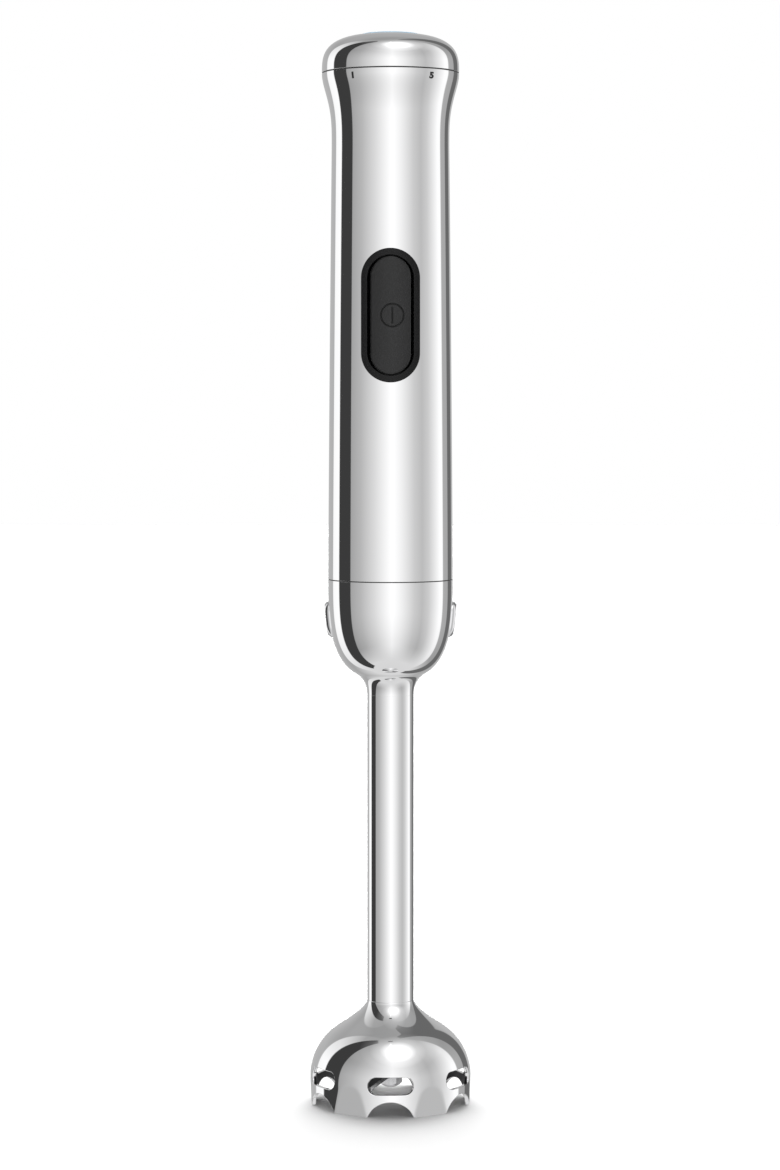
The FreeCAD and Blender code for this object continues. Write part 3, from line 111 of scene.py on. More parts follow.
BEZEL_LIP, BEZEL_LIP_DEPTH, BEZEL_DEPTH = 2.4, 3.5, 4.0
PAD_DEPTH, RELEASE_DEPTH = 1.8, 4.6
ICON_R, ICON_BAR, ICON_LINE, ICON_DEPTH, ICON_SIDE = 4.6, 6.3, 0.4, 0.45, 0.7
ICON_SOFT = 0.12
RELEASE_EDGE, RELEASE_EASE = 1.0, 0.1
SEAM_SUNK, SEAM_RING_W = 0.12, 1.0
DIGIT_SIZE, DIGIT_BOLD, DIGIT_STRETCH, DIGIT_DROP, DIGIT_LIFT = 3.2, 0.2, 1.25, 2.65, 0.03
SHELL_EDGE, BELL_EDGE = 0.1, 0.18
RING_SEGMENTS, PLATE_SEGMENTS = 300, 192


# ------------------------------------------------------------ outlines


def superellipse(radius, height, power, r_end, steps):
    """Points (radius, rise) on a superellipse dome, from its widest level to where its radius is r_end."""
    last = math.acos((r_end / radius) ** (power / 2))
    turns = [last * i / steps for i in range(steps + 1)]
    return [(radius * math.cos(a) ** (2 / power), height * math.sin(a) ** (2 / power)) for a in turns]


def neck(points, length, lean, settle, steps):
    """Points that sweep from the end of a dome's outline onto the tube. They keep to the dome's line for
    longer with a larger lean, and lie along the tube for longer with a larger settle."""
    (r0, z0), (r1, z1) = points[-2:]
    slope = (r1 - r0) / (z1 - z0)
    p0, p1 = (r1, z1), (TUBE_R, z1 + length)
    t0, t1 = (slope * length * lean, length * lean), (0, length * settle)
    found = []
    for i in range(1, steps + 1):
        s = i / steps
        a, b = 2 * s**3 - 3 * s**2 + 1, s**3 - 2 * s**2 + s
        c, d = 3 * s**2 - 2 * s**3, s**3 - s**2
        found.append(tuple(a * p0[k] + b * t0[k] + c * p1[k] + d * t1[k] for k in (0, 1)))
    return found


def evenly(points, step):
    """The outline again, with points an even distance apart."""
    lengths = [0.0]
    for (r0, z0), (r1, z1) in zip(points, points[1:]):
        lengths.append(lengths[-1] + math.hypot(r1 - r0, z1 - z0))
    count = max(2, round(lengths[-1] / step))
    found, k = [], 0
    for i in range(count + 1):
        want = lengths[-1] * i / count
        while k < len(points) - 2 and lengths[k + 1] < want:
            k += 1
        t = (want - lengths[k]) / (lengths[k + 1] - lengths[k])
        (r0, z0), (r1, z1) = points[k], points[k + 1]
        found.append((r0 + (r1 - r0) * min(t, 1.0), z0 + (z1 - z0) * min(t, 1.0)))
    return found


def bell_outline(step):
    dome = superellipse(BELL_R, BELL_DOME_H, BELL_POWER, BELL_NECK_R, 400)
    rise = dome[-1][1]
    up = neck(dome, Z_TUBE0 - BELL_SHOULDER_H - rise, BELL_LEAN, BELL_SETTLE, 300)
    points = [(BELL_R, -BELL_SHOULDER_H)] + dome + up
    return evenly([(r, z + BELL_SHOULDER_H) for r, z in points], step)


def bowl_outline(step):
    dome = superellipse(BOWL_R, BOWL_DEPTH, BOWL_POWER, BOWL_NECK_R, 400)
    drop = dome[-1][1]
    points = dome + neck(dome, Z_SEAM - Z_TUBE1 - drop, BOWL_LEAN, BOWL_SETTLE, 300)
    return evenly([(r, Z_SEAM - z) for r, z in reversed(points)], step)


def sleeve_radius(z):
    """The sleeve's outer radius: a slow taper to the waist, then a flare."""
    waist = Z_SLEEVE1 - FLARE_LEN
    if z <= waist:
        t = max(0.0, (z - Z_SLEEVE0) / (waist - Z_SLEEVE0))
        return WAIST_R + (BOWL_R - WAIST_R) * (1 - t**TAPER_POWER)
    t = min(1.0, (z - waist) / FLARE_LEN) ** FLARE_POWER
    return WAIST_R + (FLARE_R - WAIST_R) * t * t * (3 - 2 * t)


def sleeve_outline(step):
    count = 800
    levels_up = [Z_SLEEVE0 + (Z_SLEEVE1 - Z_SLEEVE0) * i / count for i in range(count + 1)]
    return evenly([(sleeve_radius(z), z) for z in levels_up], step)


def dial_outline(step):
    dome = superellipse(FLARE_R, Z_LENS - LENS_CROWN - Z_DIAL0, DIAL_POWER, LENS_R + LENS_GAP, 600)
    return evenly([(r, Z_DIAL0 + rise) for r, rise in dome], step)


def inward(outline, wall):
    """An outline at a constant distance on its axis side, for an outline that rises."""
    found = []
    for i, (r, z) in enumerate(outline):
        (r0, z0), (r1, z1) = outline[max(i - 1, 0)], outline[min(i + 1, len(outline) - 1)]
        length = math.hypot(r1 - r0, z1 - z0)
        found.append((r - (z1 - z0) / length * wall, z + (r1 - r0) / length * wall))
    found[0] = (found[0][0], outline[0][1])
    found[-1] = (found[-1][0], outline[-1][1])
    return found


# ------------------------------------------------------------ meshes


def to_object(bm, name, sharp=35.0):
    """Writes a bmesh in millimetres as a smooth object in metres, with its sharp edges kept."""
    bmesh.ops.remove_doubles(bm, verts=bm.verts, dist=1e-5)
    bmesh.ops.recalc_face_normals(bm, faces=bm.faces)
    for f in bm.faces:
        f.smooth = True
    for e in bm.edges:
        e.smooth = len(e.link_faces) == 2 and math.degrees(e.calc_face_angle(0.0)) < sharp
    bmesh.ops.scale(bm, vec=(MM, MM, MM), verts=bm.verts)
    mesh = bpy.data.meshes.new(name)
    bm.to_mesh(mesh)
    bm.free()
    obj = bpy.data.objects.new(name, mesh)
    bpy.context.scene.collection.objects.link(obj)
    return obj


def skin(name, loops, ring_shaped=False):
    """An object whose surface runs through loops of points, closed in a ring or capped at both ends."""
    bm = bmesh.new()
    rows = [[bm.verts.new(point) for point in loop] for loop in loops]
    pairs = list(zip(rows, rows[1:])) + ([(rows[-1], rows[0])] if ring_shaped else [])
    count = len(loops[0])
    for a, b in pairs:
        for k in range(count):
            n = (k + 1) % count
            bm.faces.new((a[k], a[n], b[n], b[k]))
    if not ring_shaped:
        bm.faces.new(list(reversed(rows[0])))
        bm.faces.new(rows[-1])
    return to_object(bm, name)


def stadium_distance(u, v, width, height):
    """Signed distance from (u, v) to a stadium's outline, negative inside, and the nearest point on it."""
    r = min(width, height) / 2
    cu = max(-(width / 2 - r), min(width / 2 - r, u))
    cv = max(-(height / 2 - r), min(height / 2 - r, v))
    du, dv = u - cu, v - cv
    length = math.hypot(du, dv)
    if length < 1e-9:
        du, dv, length = (0.0, 1.0, 1e-9) if width > height else (1.0, 0.0, 1e-9)
    k = r / max(length, 1e-9)
    return length - r, (cu + du * k, cv + dv * k)


def arch_distance(u, v, half, height):
    """The same for the arch: the circle through (+-half, 0) and (0, height)."""
    r = (half * half + height * height) / (2 * height)
    cv = height - r
    dv = v - cv
    length = max(math.hypot(u, dv), 1e-9)
    return length - r, (u / length * r, cv + dv / length * r)


HOLE_REACH_UP, HOLE_REACH_ROUND = 40.0, 1.2


def lathed(name, outline, wall, columns, holes=(), shape=None, edge=BELL_EDGE, inside=0):
    """A lathed sheet of even thickness with clean holes. holes is a list of (angle, centre z, test), where
    test maps (u, v) across the hole to a signed distance and its nearest point. shape(r, z, angle, depth)
    may press it. The inner faces take the material of index inside."""
    outer, inner = outline, inward(outline, wall)
    spacing = math.hypot(outline[1][0] - outline[0][0], outline[1][1] - outline[0][1])
    rows = len(outline)

    def surface(i, angle, depth):
        """A point of the outer (depth 0) to inner (depth 1) surface at row i, which may be fractional."""
        k = min(int(i), rows - 2)
        t = i - k
        o = [outer[k][j] + (outer[k + 1][j] - outer[k][j]) * t for j in (0, 1)]
        n = [inner[k][j] + (inner[k + 1][j] - inner[k][j]) * t for j in (0, 1)]
        r, z = (o[j] + (n[j] - o[j]) * depth for j in (0, 1))
        if shape:
            r = shape(r, z, angle, depth)
        return r, z

    grid = {}
    state = {}
    for i in range(rows):
        for c in range(columns):
            grid[i, c] = (float(i), 2 * math.pi * c / columns)
            state[i, c] = 1
    for angle0, z0, test in holes:
        for i in range(rows):
            if abs(outline[i][1] - z0) > HOLE_REACH_UP:
                continue
            for c in range(columns):
                angle = 2 * math.pi * c / columns
                d = (angle - angle0 + math.pi) % (2 * math.pi) - math.pi
                if abs(d) > HOLE_REACH_ROUND:
                    continue
                rr, zz = surface(i, angle, 0)
                dist, (nu, nv) = test(rr * math.sin(d), zz - z0)
                step = max(2 * math.pi * rr / columns, spacing)
                if abs(dist) <= step * 0.5:
                    fi = i + (nv + z0 - zz) / max(slope_z(outline, i), 1e-6)
                    fi = max(0.0, min(rows - 1.0, fi))
                    grid[i, c] = (fi, angle0 + math.asin(max(-1.0, min(1.0, nu / rr))))
                    state[i, c] = 0
                elif dist < 0 and state[i, c] == 1:
                    state[i, c] = -1

    bm = bmesh.new()
    layers = []
    for depth in (0.0, 1.0):
        verts = {}
        for key, (fi, angle) in grid.items():
            if state[key] >= 0:
                r, z = surface(fi, angle, depth)
                verts[key] = bm.verts.new((r * math.cos(angle), r * math.sin(angle), z))
        layers.append(verts)
    used = {}
    for i in range(rows - 1):
        for c in range(columns):
            corners = [(i, c), (i, (c + 1) % columns), (i + 1, (c + 1) % columns), (i + 1, c)]
            kept = [k for k in corners if state[k] >= 0]
            if len(kept) < 3 or all(state[k] == 0 for k in kept):
                continue
            bm.faces.new([layers[0][k] for k in kept])
            bm.faces.new([layers[1][k] for k in reversed(kept)]).material_index = inside
            for a, b in zip(kept, kept[1:] + kept[:1]):
                used[a, b] = True
    for a, b in list(used):
        if (b, a) not in used:
            bm.faces.new([layers[0][b], layers[0][a], layers[1][a], layers[1][b]])
    loose = [v for v in bm.verts if not v.link_faces]
    bmesh.ops.delete(bm, geom=loose, context="VERTS")
    obj = to_object(bm, name)
    if edge:
        bevel = obj.modifiers.new("soft_edges", "BEVEL")
        bevel.width = edge * MM
        bevel.segments = 2
        bevel.limit_method = "ANGLE"
        bevel.angle_limit = math.radians(40)
        bevel.use_clamp_overlap = True
    return obj


def slope_z(outline, i):
    """How much height one row covers near row i."""
    a, b = max(i - 1, 0), min(i + 1, len(outline) - 1)
    return (outline[b][1] - outline[a][1]) / (b - a)


def soft_min(a, b, blend):
    """The smaller of two distances, rounded where they meet."""
    h = max(blend - abs(a - b), 0.0) / blend
    return min(a, b) - h * h * blend / 4


def press_flats(r, z, angle, depth):
    """Presses the six feet's flats into the bell's wall."""
    pitch = 2 * math.pi / LOBES
    at = (angle + math.pi / 2 - pitch / 2 + math.pi) % pitch
    off = at - pitch if at > pitch / 2 else at
    reach = BELL_R * math.cos(math.radians(LOBE_ANGLE / 2)) - BELL_WALL * depth
    flat = (reach + z * math.tan(FLAT_TILT)) / math.cos(off)
    return soft_min(r, flat, FLAT_BLEND)


def ring_hole(radius):
    """The distance test of a round hole."""

    def test(u, v):
        away = max(math.hypot(u, v), 1e-9)
        return away - radius, (u * radius / away, v * radius / away)

    return test


def stadium_hole(width, height):
    return lambda u, v: stadium_distance(u, v, width, height)


def arch_hole(half, height):
    return lambda u, v: arch_distance(u, v, half, height)


FRONT, BACK, RIGHT, LEFT = -math.pi / 2, math.pi / 2, 0.0, math.pi
pitch = 2 * math.pi / LOBES
half_chord = BELL_R * math.sin(math.radians((60 - LOBE_ANGLE) / 2))
bell_holes = []
for k in range(LOBES):
    bell_holes.append((FRONT + pitch * k, SLOT_Z, stadium_hole(SLOT_W, SLOT_H)))
    bell_holes.append((FRONT + pitch * k, 0.0, arch_hole(half_chord, ARCH_H)))

# ------------------------------------------------------------ the polished shells

bell = lathed("bell_shell", bell_outline(0.5), BELL_WALL, 420, bell_holes, press_flats, inside=1)

tube_rows = [(TUBE_R, Z_TUBE0 + (Z_TUBE1 - Z_TUBE0) * i / 24) for i in range(25)]
tube = lathed("tube_shell", tube_rows, BELL_WALL, 160, edge=0)

release_hole = stadium_hole(RELEASE_W + 2 * RELEASE_GAP, RELEASE_L + 2 * RELEASE_GAP)
bowl_holes = [(RIGHT, Z_RELEASE, release_hole), (LEFT, Z_RELEASE, release_hole)]
bowl = lathed("bowl_shell", bowl_outline(0.45), BOWL_WALL, 360, bowl_holes, edge=SHELL_EDGE)

switch_hole = stadium_hole(BEZEL_W - 2 * BEZEL_LAP, BEZEL_L - 2 * BEZEL_LAP)
sleeve_holes = [(FRONT, Z_BUTTON, switch_hole), (BACK, Z_JACK, ring_hole(JACK_HOLE_R))]
sleeve = lathed("sleeve_shell", sleeve_outline(0.7), SLEEVE_WALL, 300, sleeve_holes, edge=SHELL_EDGE)

dial = lathed("dial_shell", dial_outline(0.35), DIAL_WALL, 300, edge=SHELL_EDGE)

for piece, body, node in (
    (bell, "blending_shaft", "blade_guard"),
    (tube, "blending_shaft", "shaft_tube"),
    (bowl, "blending_shaft", "coupling_bowl"),
    (sleeve, "motor_unit", "handle_sleeve"),
    (dial, "speed_dial", "dial_cap"),
):
    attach(piece, body)
    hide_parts(node)


# ------------------------------------------------------------ the dark rings in the seams


def seam_ring(name, radius, z0, z1, body):
    """A thin ring that fills a seam, sunk a little below the steel."""
    turns = [2 * math.pi * k / RING_SEGMENTS for k in range(RING_SEGMENTS)]
    corners = ((radius - SEAM_RING_W, z0), (radius, z0), (radius, z1), (radius - SEAM_RING_W, z1))
    loops = [[Vector((r * math.cos(a), r * math.sin(a), z)) for a in turns] for r, z in corners]
    ring = skin(name, loops, True)
    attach(ring, body)
    return ring


seam_rings = [
    seam_ring("bowl_gasket", BOWL_R - SEAM_SUNK, Z_SEAM, Z_SLEEVE0, "motor_unit"),
    seam_ring("dial_gasket", FLARE_R - SEAM_SUNK, Z_SLEEVE1, Z_DIAL0, "motor_unit"),
]


# ------------------------------------------------------------ the switch and the release buttons


def wrapper(z0, radius_at, facing):
    """A function that lays (u, v) on a lathed surface round the level z0, at a height above it."""
    ca, sa = math.cos(facing), math.sin(facing)

    def place(u, v, out):
        r = radius_at(z0 + v) + out
        y = math.sqrt(max(r * r - u * u, 0.0))
        return Vector((y * ca - u * sa, y * sa + u * ca, z0 + v))

    return place


def stadium_point(width, height, t):
    """A point of an upright stadium's outline, t from 0 to 1 round it from its right side."""
    r, straight = width / 2, height - width
    quarter = straight / 2 + math.pi * r / 2
    s = (t % 0.25) * 4 * quarter if int(t * 4) % 2 == 0 else (0.25 - t % 0.25) * 4 * quarter
    if s < straight / 2:
        u, v = r, s
    else:
        a = (s - straight / 2) / r
        u, v = r * math.cos(a), straight / 2 + r * math.sin(a)
    signs = ((1, 1), (-1, 1), (-1, -1), (1, -1))[int(t * 4) % 4]
    return u * signs[0], v * signs[1]


def stadium_loop(width, height):
    return [stadium_point(width, height, k / PLATE_SEGMENTS) for k in range(PLATE_SEGMENTS)]


def rounded(edge, steps=6):
    """(inset, drop) of an edge rounded to a radius, from the side over to the face."""
    turns = [math.pi / 2 * k / steps for k in range(steps + 1)]
    return [(edge * (1 - math.cos(a)), edge * (1 - math.sin(a))) for a in turns]


def chamfered(edge, soft):
    """The same for a 45-degree edge whose two corners are eased."""
    ease = soft * 0.3
    return [(0.0, edge + soft), (ease, edge - ease), (edge - ease, ease), (edge + soft, 0.0)]


def plate(name, place, size, proud, depth, edge, relief=None, rounds=(0.4,)):
    """A stadium plate. Its edge is a list of (inset, drop), and its face runs in to circles of the radii in
    rounds, where relief(u, v) sinks it."""
    width, height = size
    loops = [[place(u, v, proud - depth) for u, v in stadium_loop(width, height)]]
    for inset, drop in edge:
        loop = stadium_loop(width - 2 * inset, height - 2 * inset)
        loops.append([place(u, v, proud - drop) for u, v in loop])
    inset = edge[-1][0]
    flat = stadium_loop(width - 2 * inset, height - 2 * inset)
    turns = [2 * math.pi * k / PLATE_SEGMENTS for k in range(PLATE_SEGMENTS)]
    circle = [(math.cos(a), math.sin(a)) for a in turns]
    steps = 12
    for j in range(1, steps + 1):
        f = j / steps
        hub = rounds[0] * f
        blended = [(a * (1 - f) + c * hub, b * (1 - f) + d * hub) for (a, b), (c, d) in zip(flat, circle)]
        loops.append([place(u, v, proud) for u, v in blended])
    for radius in rounds[1:]:
        points = [(c * radius, d * radius) for c, d in circle]
        loops.append([place(u, v, proud - relief(u, v)) for u, v in points])
    return skin(name, loops)


def smooth_step(x):
    x = max(0.0, min(1.0, x))
    return x * x * (3 - 2 * x)


def icon_relief(u, v):
    """How deep the engraved power icon is at a point: a circle and an upright bar."""
    u -= ICON_SIDE
    ring_at = abs(math.hypot(u, v) - (ICON_R - ICON_LINE / 2)) - ICON_LINE / 2
    bar_at = max(abs(u) - ICON_LINE / 2, abs(v) - ICON_BAR / 2)
    return ICON_DEPTH * smooth_step((ICON_SOFT - min(ring_at, bar_at)) / (2 * ICON_SOFT))


def bowl_radius(z):
    return BOWL_R * (1 - (max(0.0, Z_SEAM - z) / BOWL_DEPTH) ** BOWL_POWER) ** (1 / BOWL_POWER)


on_sleeve = wrapper(Z_BUTTON, sleeve_radius, FRONT)
bezel_edge = rounded(BEZEL_EDGE)
lip_w, lip_l = BEZEL_BORE_W - 2 * BEZEL_LIP, BEZEL_BORE_L - 2 * BEZEL_LIP
section = [(BEZEL_W, BEZEL_L, -BEZEL_DEPTH)]
section += [(BEZEL_W - 2 * inset, BEZEL_L - 2 * inset, BEZEL_PROUD - drop) for inset, drop in bezel_edge]
for inset, drop in reversed(bezel_edge):
    section.append((BEZEL_BORE_W + 2 * inset, BEZEL_BORE_L + 2 * inset, BEZEL_PROUD - drop))
section.append((BEZEL_BORE_W, BEZEL_BORE_L, -BEZEL_LIP_DEPTH))
section.append((lip_w, lip_l, -BEZEL_LIP_DEPTH))
section.append((lip_w, lip_l, -BEZEL_DEPTH))
loops = [[on_sleeve(u, v, out) for u, v in stadium_loop(width, height)] for width, height, out in section]
bezel = skin("bezel_frame", loops, True)

icon_rounds = [5.9 - 0.055 * k for k in range(106)]
pad_size, pad_edge = (PAD_W, PAD_L), rounded(PAD_EDGE)
pad = plate("switch_pad", on_sleeve, pad_size, PAD_PROUD, PAD_DEPTH, pad_edge, icon_relief, icon_rounds)
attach(bezel, "motor_unit")
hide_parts("switch_bezel")
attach(pad, "power_button")
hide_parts("power_button")

release_caps = []
release_edge = chamfered(RELEASE_EDGE, RELEASE_EASE)
for side, facing in (("right", RIGHT), ("left", LEFT)):
    on_bowl = wrapper(Z_RELEASE, bowl_radius, facing)
    size = (RELEASE_W, RELEASE_L)
    cap = plate(f"release_cap_{side}", on_bowl, size, RELEASE_PROUD, RELEASE_DEPTH, release_edge)
    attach(cap, f"release_{side}")
    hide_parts(f"release_button_{side}")
    release_caps.append(cap)


# ------------------------------------------------------------ materials


RELIEF_DEPTH = 0.00002


def new_material(name):
    material = bpy.data.materials.new(name)
    material.use_nodes = True
    tree = material.node_tree
    tree.nodes.clear()
    out = tree.nodes.new("ShaderNodeOutputMaterial")
    shader = tree.nodes.new("ShaderNodeBsdfPrincipled")
    tree.links.new(shader.outputs["BSDF"], out.inputs["Surface"])
    return material, tree, shader


def coordinates(tree, scale=(1, 1, 1)):
    """Object coordinates in metres, scaled per axis."""
    coord = tree.nodes.new("ShaderNodeTexCoord")
    mapping = tree.nodes.new("ShaderNodeMapping")
    mapping.inputs["Scale"].default_value = scale
    tree.links.new(coord.outputs["Object"], mapping.inputs["Vector"])
    return mapping.outputs["Vector"]


def noise(tree, vector, scale, detail=3.0, rough=0.55):
    node = tree.nodes.new("ShaderNodeTexNoise")
    node.inputs["Scale"].default_value = scale
    node.inputs["Detail"].default_value = detail
    node.inputs["Roughness"].default_value = rough
    tree.links.new(vector, node.inputs["Vector"])
    return node.outputs["Fac"]


def remap(tree, value, low, high, from_low=0.3, from_high=0.7):
    node = tree.nodes.new("ShaderNodeMapRange")
    node.inputs["From Min"].default_value = from_low
    node.inputs["From Max"].default_value = from_high
    node.inputs["To Min"].default_value = low
    node.inputs["To Max"].default_value = high
    tree.links.new(value, node.inputs["Value"])
    return node.outputs["Result"]


def mix(tree, factor, a, b):
    node = tree.nodes.new("ShaderNodeMix")
    node.data_type = "RGBA"
    node.inputs["A"].default_value = (*a, 1)
    node.inputs["B"].default_value = (*b, 1)
    tree.links.new(factor, node.inputs["Factor"])
    return node.outputs["Result"]


def bump(tree, shader, height, strength, distance):
    node = tree.nodes.new("ShaderNodeBump")
    node.inputs["Strength"].default_value = strength
    node.inputs["Distance"].default_value = distance
    tree.links.new(height, node.inputs["Height"])
    tree.links.new(node.outputs["Normal"], shader.inputs["Normal"])


def shade(name, color, metal, rough, variation, grain, relief, stretch=(1, 1, 1)):
    """A material with two scales of noise in its colour, roughness and relief, and its shader node."""
    material, tree, shader = new_material(name)
    vector = coordinates(tree, stretch)
    broad = noise(tree, vector, grain / 12)
    fine = noise(tree, vector, grain, 5.0, 0.6)
    darker = tuple(c * (1 - variation) for c in color)
    lighter = tuple(min(1.0, c * (1 + variation)) for c in color)
    tree.links.new(mix(tree, remap(tree, broad, 0, 1), darker, lighter), shader.inputs["Base Color"])
    tree.links.new(remap(tree, fine, rough * 0.85, rough * 1.15), shader.inputs["Roughness"])
    shader.inputs["Metallic"].default_value = metal
    if relief:
        bump(tree, shader, fine, relief, RELIEF_DEPTH)
    return material, shader


MATERIALS = {}
MATERIALS["polished_steel"] = shade("polished_steel", (0.93, 0.93, 0.935), 1.0, 0.035, 0.006, 60.0, 0.0)[0]
MATERIALS["button_metal"] = shade("button_metal", (0.82, 0.82, 0.83), 1.0, 0.06, 0.02, 400.0, 0.0)[0]
# the steel for the bell's inside is nearly black: painted shade inside the bell, not the steel's own colour
MATERIALS["shaded_inner_steel"] = shade("shaded_inner_steel", (0.07, 0.07, 0.072), 1.0, 0.45, 0.08, 500.0, 0.1)[0]
brushed = (1, 1, 0.04)
for slot_name, color, rough in (
    ("spring_steel", (0.55, 0.56, 0.58), 0.28),
    ("plain_steel", (0.60, 0.60, 0.61), 0.24),
    ("ground_steel", (0.66, 0.66, 0.67), 0.22),
    ("core_steel", (0.33, 0.33, 0.34), 0.45),
    ("zinc_plate", (0.62, 0.63, 0.64), 0.32),
    ("screw_steel", (0.42, 0.42, 0.43), 0.30),
    ("sensor_metal", (0.50, 0.50, 0.50), 0.35),
    ("nickel", (0.66, 0.64, 0.60), 0.26),
    ("bronze", (0.55, 0.38, 0.20), 0.42),
    ("copper", (0.72, 0.35, 0.20), 0.30),
):
    MATERIALS[slot_name] = shade(slot_name, color, 1.0, rough, 0.10, 2400.0, 0.12, brushed)[0]
for slot_name, color, rough in (
    ("black_nylon", (0.035, 0.035, 0.038), 0.50),
    ("white_nylon", (0.82, 0.81, 0.78), 0.45),
    ("grey_abs", (0.30, 0.31, 0.32), 0.48),
    ("seal_rubber", (0.02, 0.02, 0.02), 0.60),
    ("ferrite", (0.08, 0.08, 0.085), 0.65),
    ("cell_wrap", (0.05, 0.22, 0.42), 0.30),
    ("board_green", (0.03, 0.20, 0.09), 0.38),
    ("chip_black", (0.03, 0.03, 0.03), 0.42),
    ("lamp_blue", (0.20, 0.45, 0.95), 0.25),
    ("clear_acrylic", (0.85, 0.88, 0.90), 0.12),
):
    MATERIALS[slot_name] = shade(slot_name, color, 0.0, rough, 0.12, 1600.0, 0.18)[0]
bezel_material, shader = shade("bezel_black", (0.006, 0.006, 0.0065), 0.0, 0.26, 0.15, 2600.0, 0.08)
shader.inputs["Specular IOR Level"].default_value = 0.25
MATERIALS["bezel_black"] = bezel_material
pad_material, shader = shade("pad_black", (0.010, 0.010, 0.0105), 0.0, 0.30, 0.12, 3200.0, 0.10)
shader.inputs["Specular IOR Level"].default_value = 0.45
MATERIALS["pad_black"] = pad_material

lens_material, shader = shade("lens_blue", (0.50, 0.76, 0.90), 0.0, 0.16, 0.05, 300.0, 0.0)
shader.inputs["Emission Color"].default_value = (0.32, 0.62, 0.95, 1)
shader.inputs["Emission Strength"].default_value = 0.35
MATERIALS["lens_blue"] = lens_material

slot_of = {s["node"]: s["material_slot"] for s in frame["record"]["subparts"]}
for node, obj in frame["nodes"].items():
    obj.data.materials.clear()
    obj.data.materials.append(MATERIALS[slot_of[node]])
for slot_name, pieces in (
    ("polished_steel", (bell, tube, bowl, sleeve, dial)),
    ("bezel_black", (bezel,)),
    ("pad_black", (pad,)),
    ("button_metal", release_caps),
    ("seal_rubber", seam_rings),
):
    for piece in pieces:
        piece.data.materials.append(MATERIALS[slot_name])
# the bell's inside is left unpolished, and its steel is made nearly black to paint the shade inside the bell
bell.data.materials.append(MATERIALS["shaded_inner_steel"])
# These pieces aren't mirrored in their neighbours, so the polished necks stay smooth. The bell, the bezel and
# the pad are, because their recesses have to darken themselves, and so are the printed numbers.
for obj in list(frame["nodes"].values()) + [tube, bowl, sleeve, dial] + release_caps + seam_rings:
    obj.visible_glossy = False


# ------------------------------------------------------------ numbers beside the dial

digits_material = shade("printed_black", (0.012, 0.012, 0.013), 0.0, 0.5, 0.1, 2000.0, 0.0)[0]
for digit, degrees in (("1", -33.2), ("5", 36.6)):
    curve = bpy.data.curves.new(f"digit_{digit}", "FONT")
    curve.body = digit
    curve.align_x = "CENTER"
    curve.align_y = "CENTER"
    curve.size = DIGIT_SIZE
    curve.offset = DIGIT_BOLD
    curve.resolution_u = 6
    text = bpy.data.objects.new(f"digit_{digit}_text", curve)
    bpy.context.scene.collection.objects.link(text)
    bpy.context.view_layer.update()
    flat = bpy.data.meshes.new_from_object(text)
    bpy.data.objects.remove(text)
    bm = bmesh.new()
    bm.from_mesh(flat)
    bmesh.ops.triangulate(bm, faces=bm.faces)
    bmesh.ops.subdivide_edges(bm, edges=bm.edges, cuts=3, use_grid_fill=False)
    for v in bm.verts:
        z = Z_SLEEVE1 - DIGIT_DROP + v.co.y
        r = sleeve_radius(z) + DIGIT_LIFT
        angle = FRONT + math.radians(degrees) + v.co.x * DIGIT_STRETCH / r
        v.co = Vector((r * math.cos(angle), r * math.sin(angle), z))
    number = to_object(bm, f"dial_number_{digit}")
    number.data.materials.append(digits_material)
    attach(number, "motor_unit")


# ------------------------------------------------------------ studio

scene = bpy.context.scene
scene.view_settings.view_transform = "Standard"
scene.view_settings.look = "None"
scene.view_settings.exposure = 0.0
scene.view_settings.gamma = 1.0

world = bpy.data.worlds.new("studio")
scene.world = world
world.use_nodes = True
world.cycles.sampling_method = "NONE"
tree = world.node_tree
tree.nodes.clear()


def math_node(operation, a, b=None, clamp=False):
    node = tree.nodes.new("ShaderNodeMath")
    node.operation = operation
    node.use_clamp = clamp
    for socket, value in zip(node.inputs, (a, b)):
        if value is None:
            continue
        if isinstance(value, (int, float)):
            socket.default_value = value
        else:
            tree.links.new(value, socket)
    return node.outputs[0]


def add(a, b):
    return math_node("ADD", a, b)


def times(a, b):
    return math_node("MULTIPLY", a, b)


def ramp_of(value, stops):
    """A brightness curve over a value, from (value, brightness) stops."""
    low, high = stops[0][0], stops[-1][0]
    position = math_node("DIVIDE", math_node("SUBTRACT", value, low), high - low, True)
    node = tree.nodes.new("ShaderNodeValToRGB")
    elements = node.color_ramp.elements
    elements.remove(elements[1])
    for k, (at, level) in enumerate(stops):
        t = (at - low) / (high - low)
        element = elements.new(t) if k else elements[0]
        element.position = t
        element.color = (level, level, level, 1)
    tree.links.new(position, node.inputs["Fac"])
    return node.outputs["Color"]


def blend_values(factor, a, b):
    """a where factor is 0, b where it is 1."""
    return add(times(a, math_node("SUBTRACT", 1.0, factor)), times(b, factor))


def along(direction):
    """The cosine between a ray and a direction."""
    return add(add(times(dx, direction.x), times(dy, direction.y)), times(dz, direction.z))


# brightness by azimuth, in degrees: 0 faces the camera's side and 90 the right
AROUND = [
    (-180, 0.50),
    (-164, 0.46),
    (-135, 0.43),
    (-133, 0.95),
    (-112, 1.00),
    (-109, 0.50),
    (-80, 0.36),
    (-57, 0.47),
    (-30, 0.70),
    (3, 1.05),
    (20, 0.89),
    (45, 0.60),
    (61, 0.50),
    (75, 0.60),
    (104, 1.00),
    (113, 1.00),
    (115, 0.41),
    (132, 0.38),
    (155, 0.45),
    (180, 0.50),
]
# brightness by elevation, in degrees
UPRIGHT = [(-90, 0.74), (-60, 0.74), (-30, 0.86), (-10, 1.0), (12, 1.0), (32, 0.82), (50, 0.74), (90, 0.62)]
POLE = [(-90, 0.66), (-40, 0.70), (40, 0.50), (64, 0.32), (90, 0.19)]
TOWARD_POLE = [(-90, 1.0), (-64, 1.0), (-36, 0.0), (36, 0.0), (64, 0.85), (90, 1.0)]
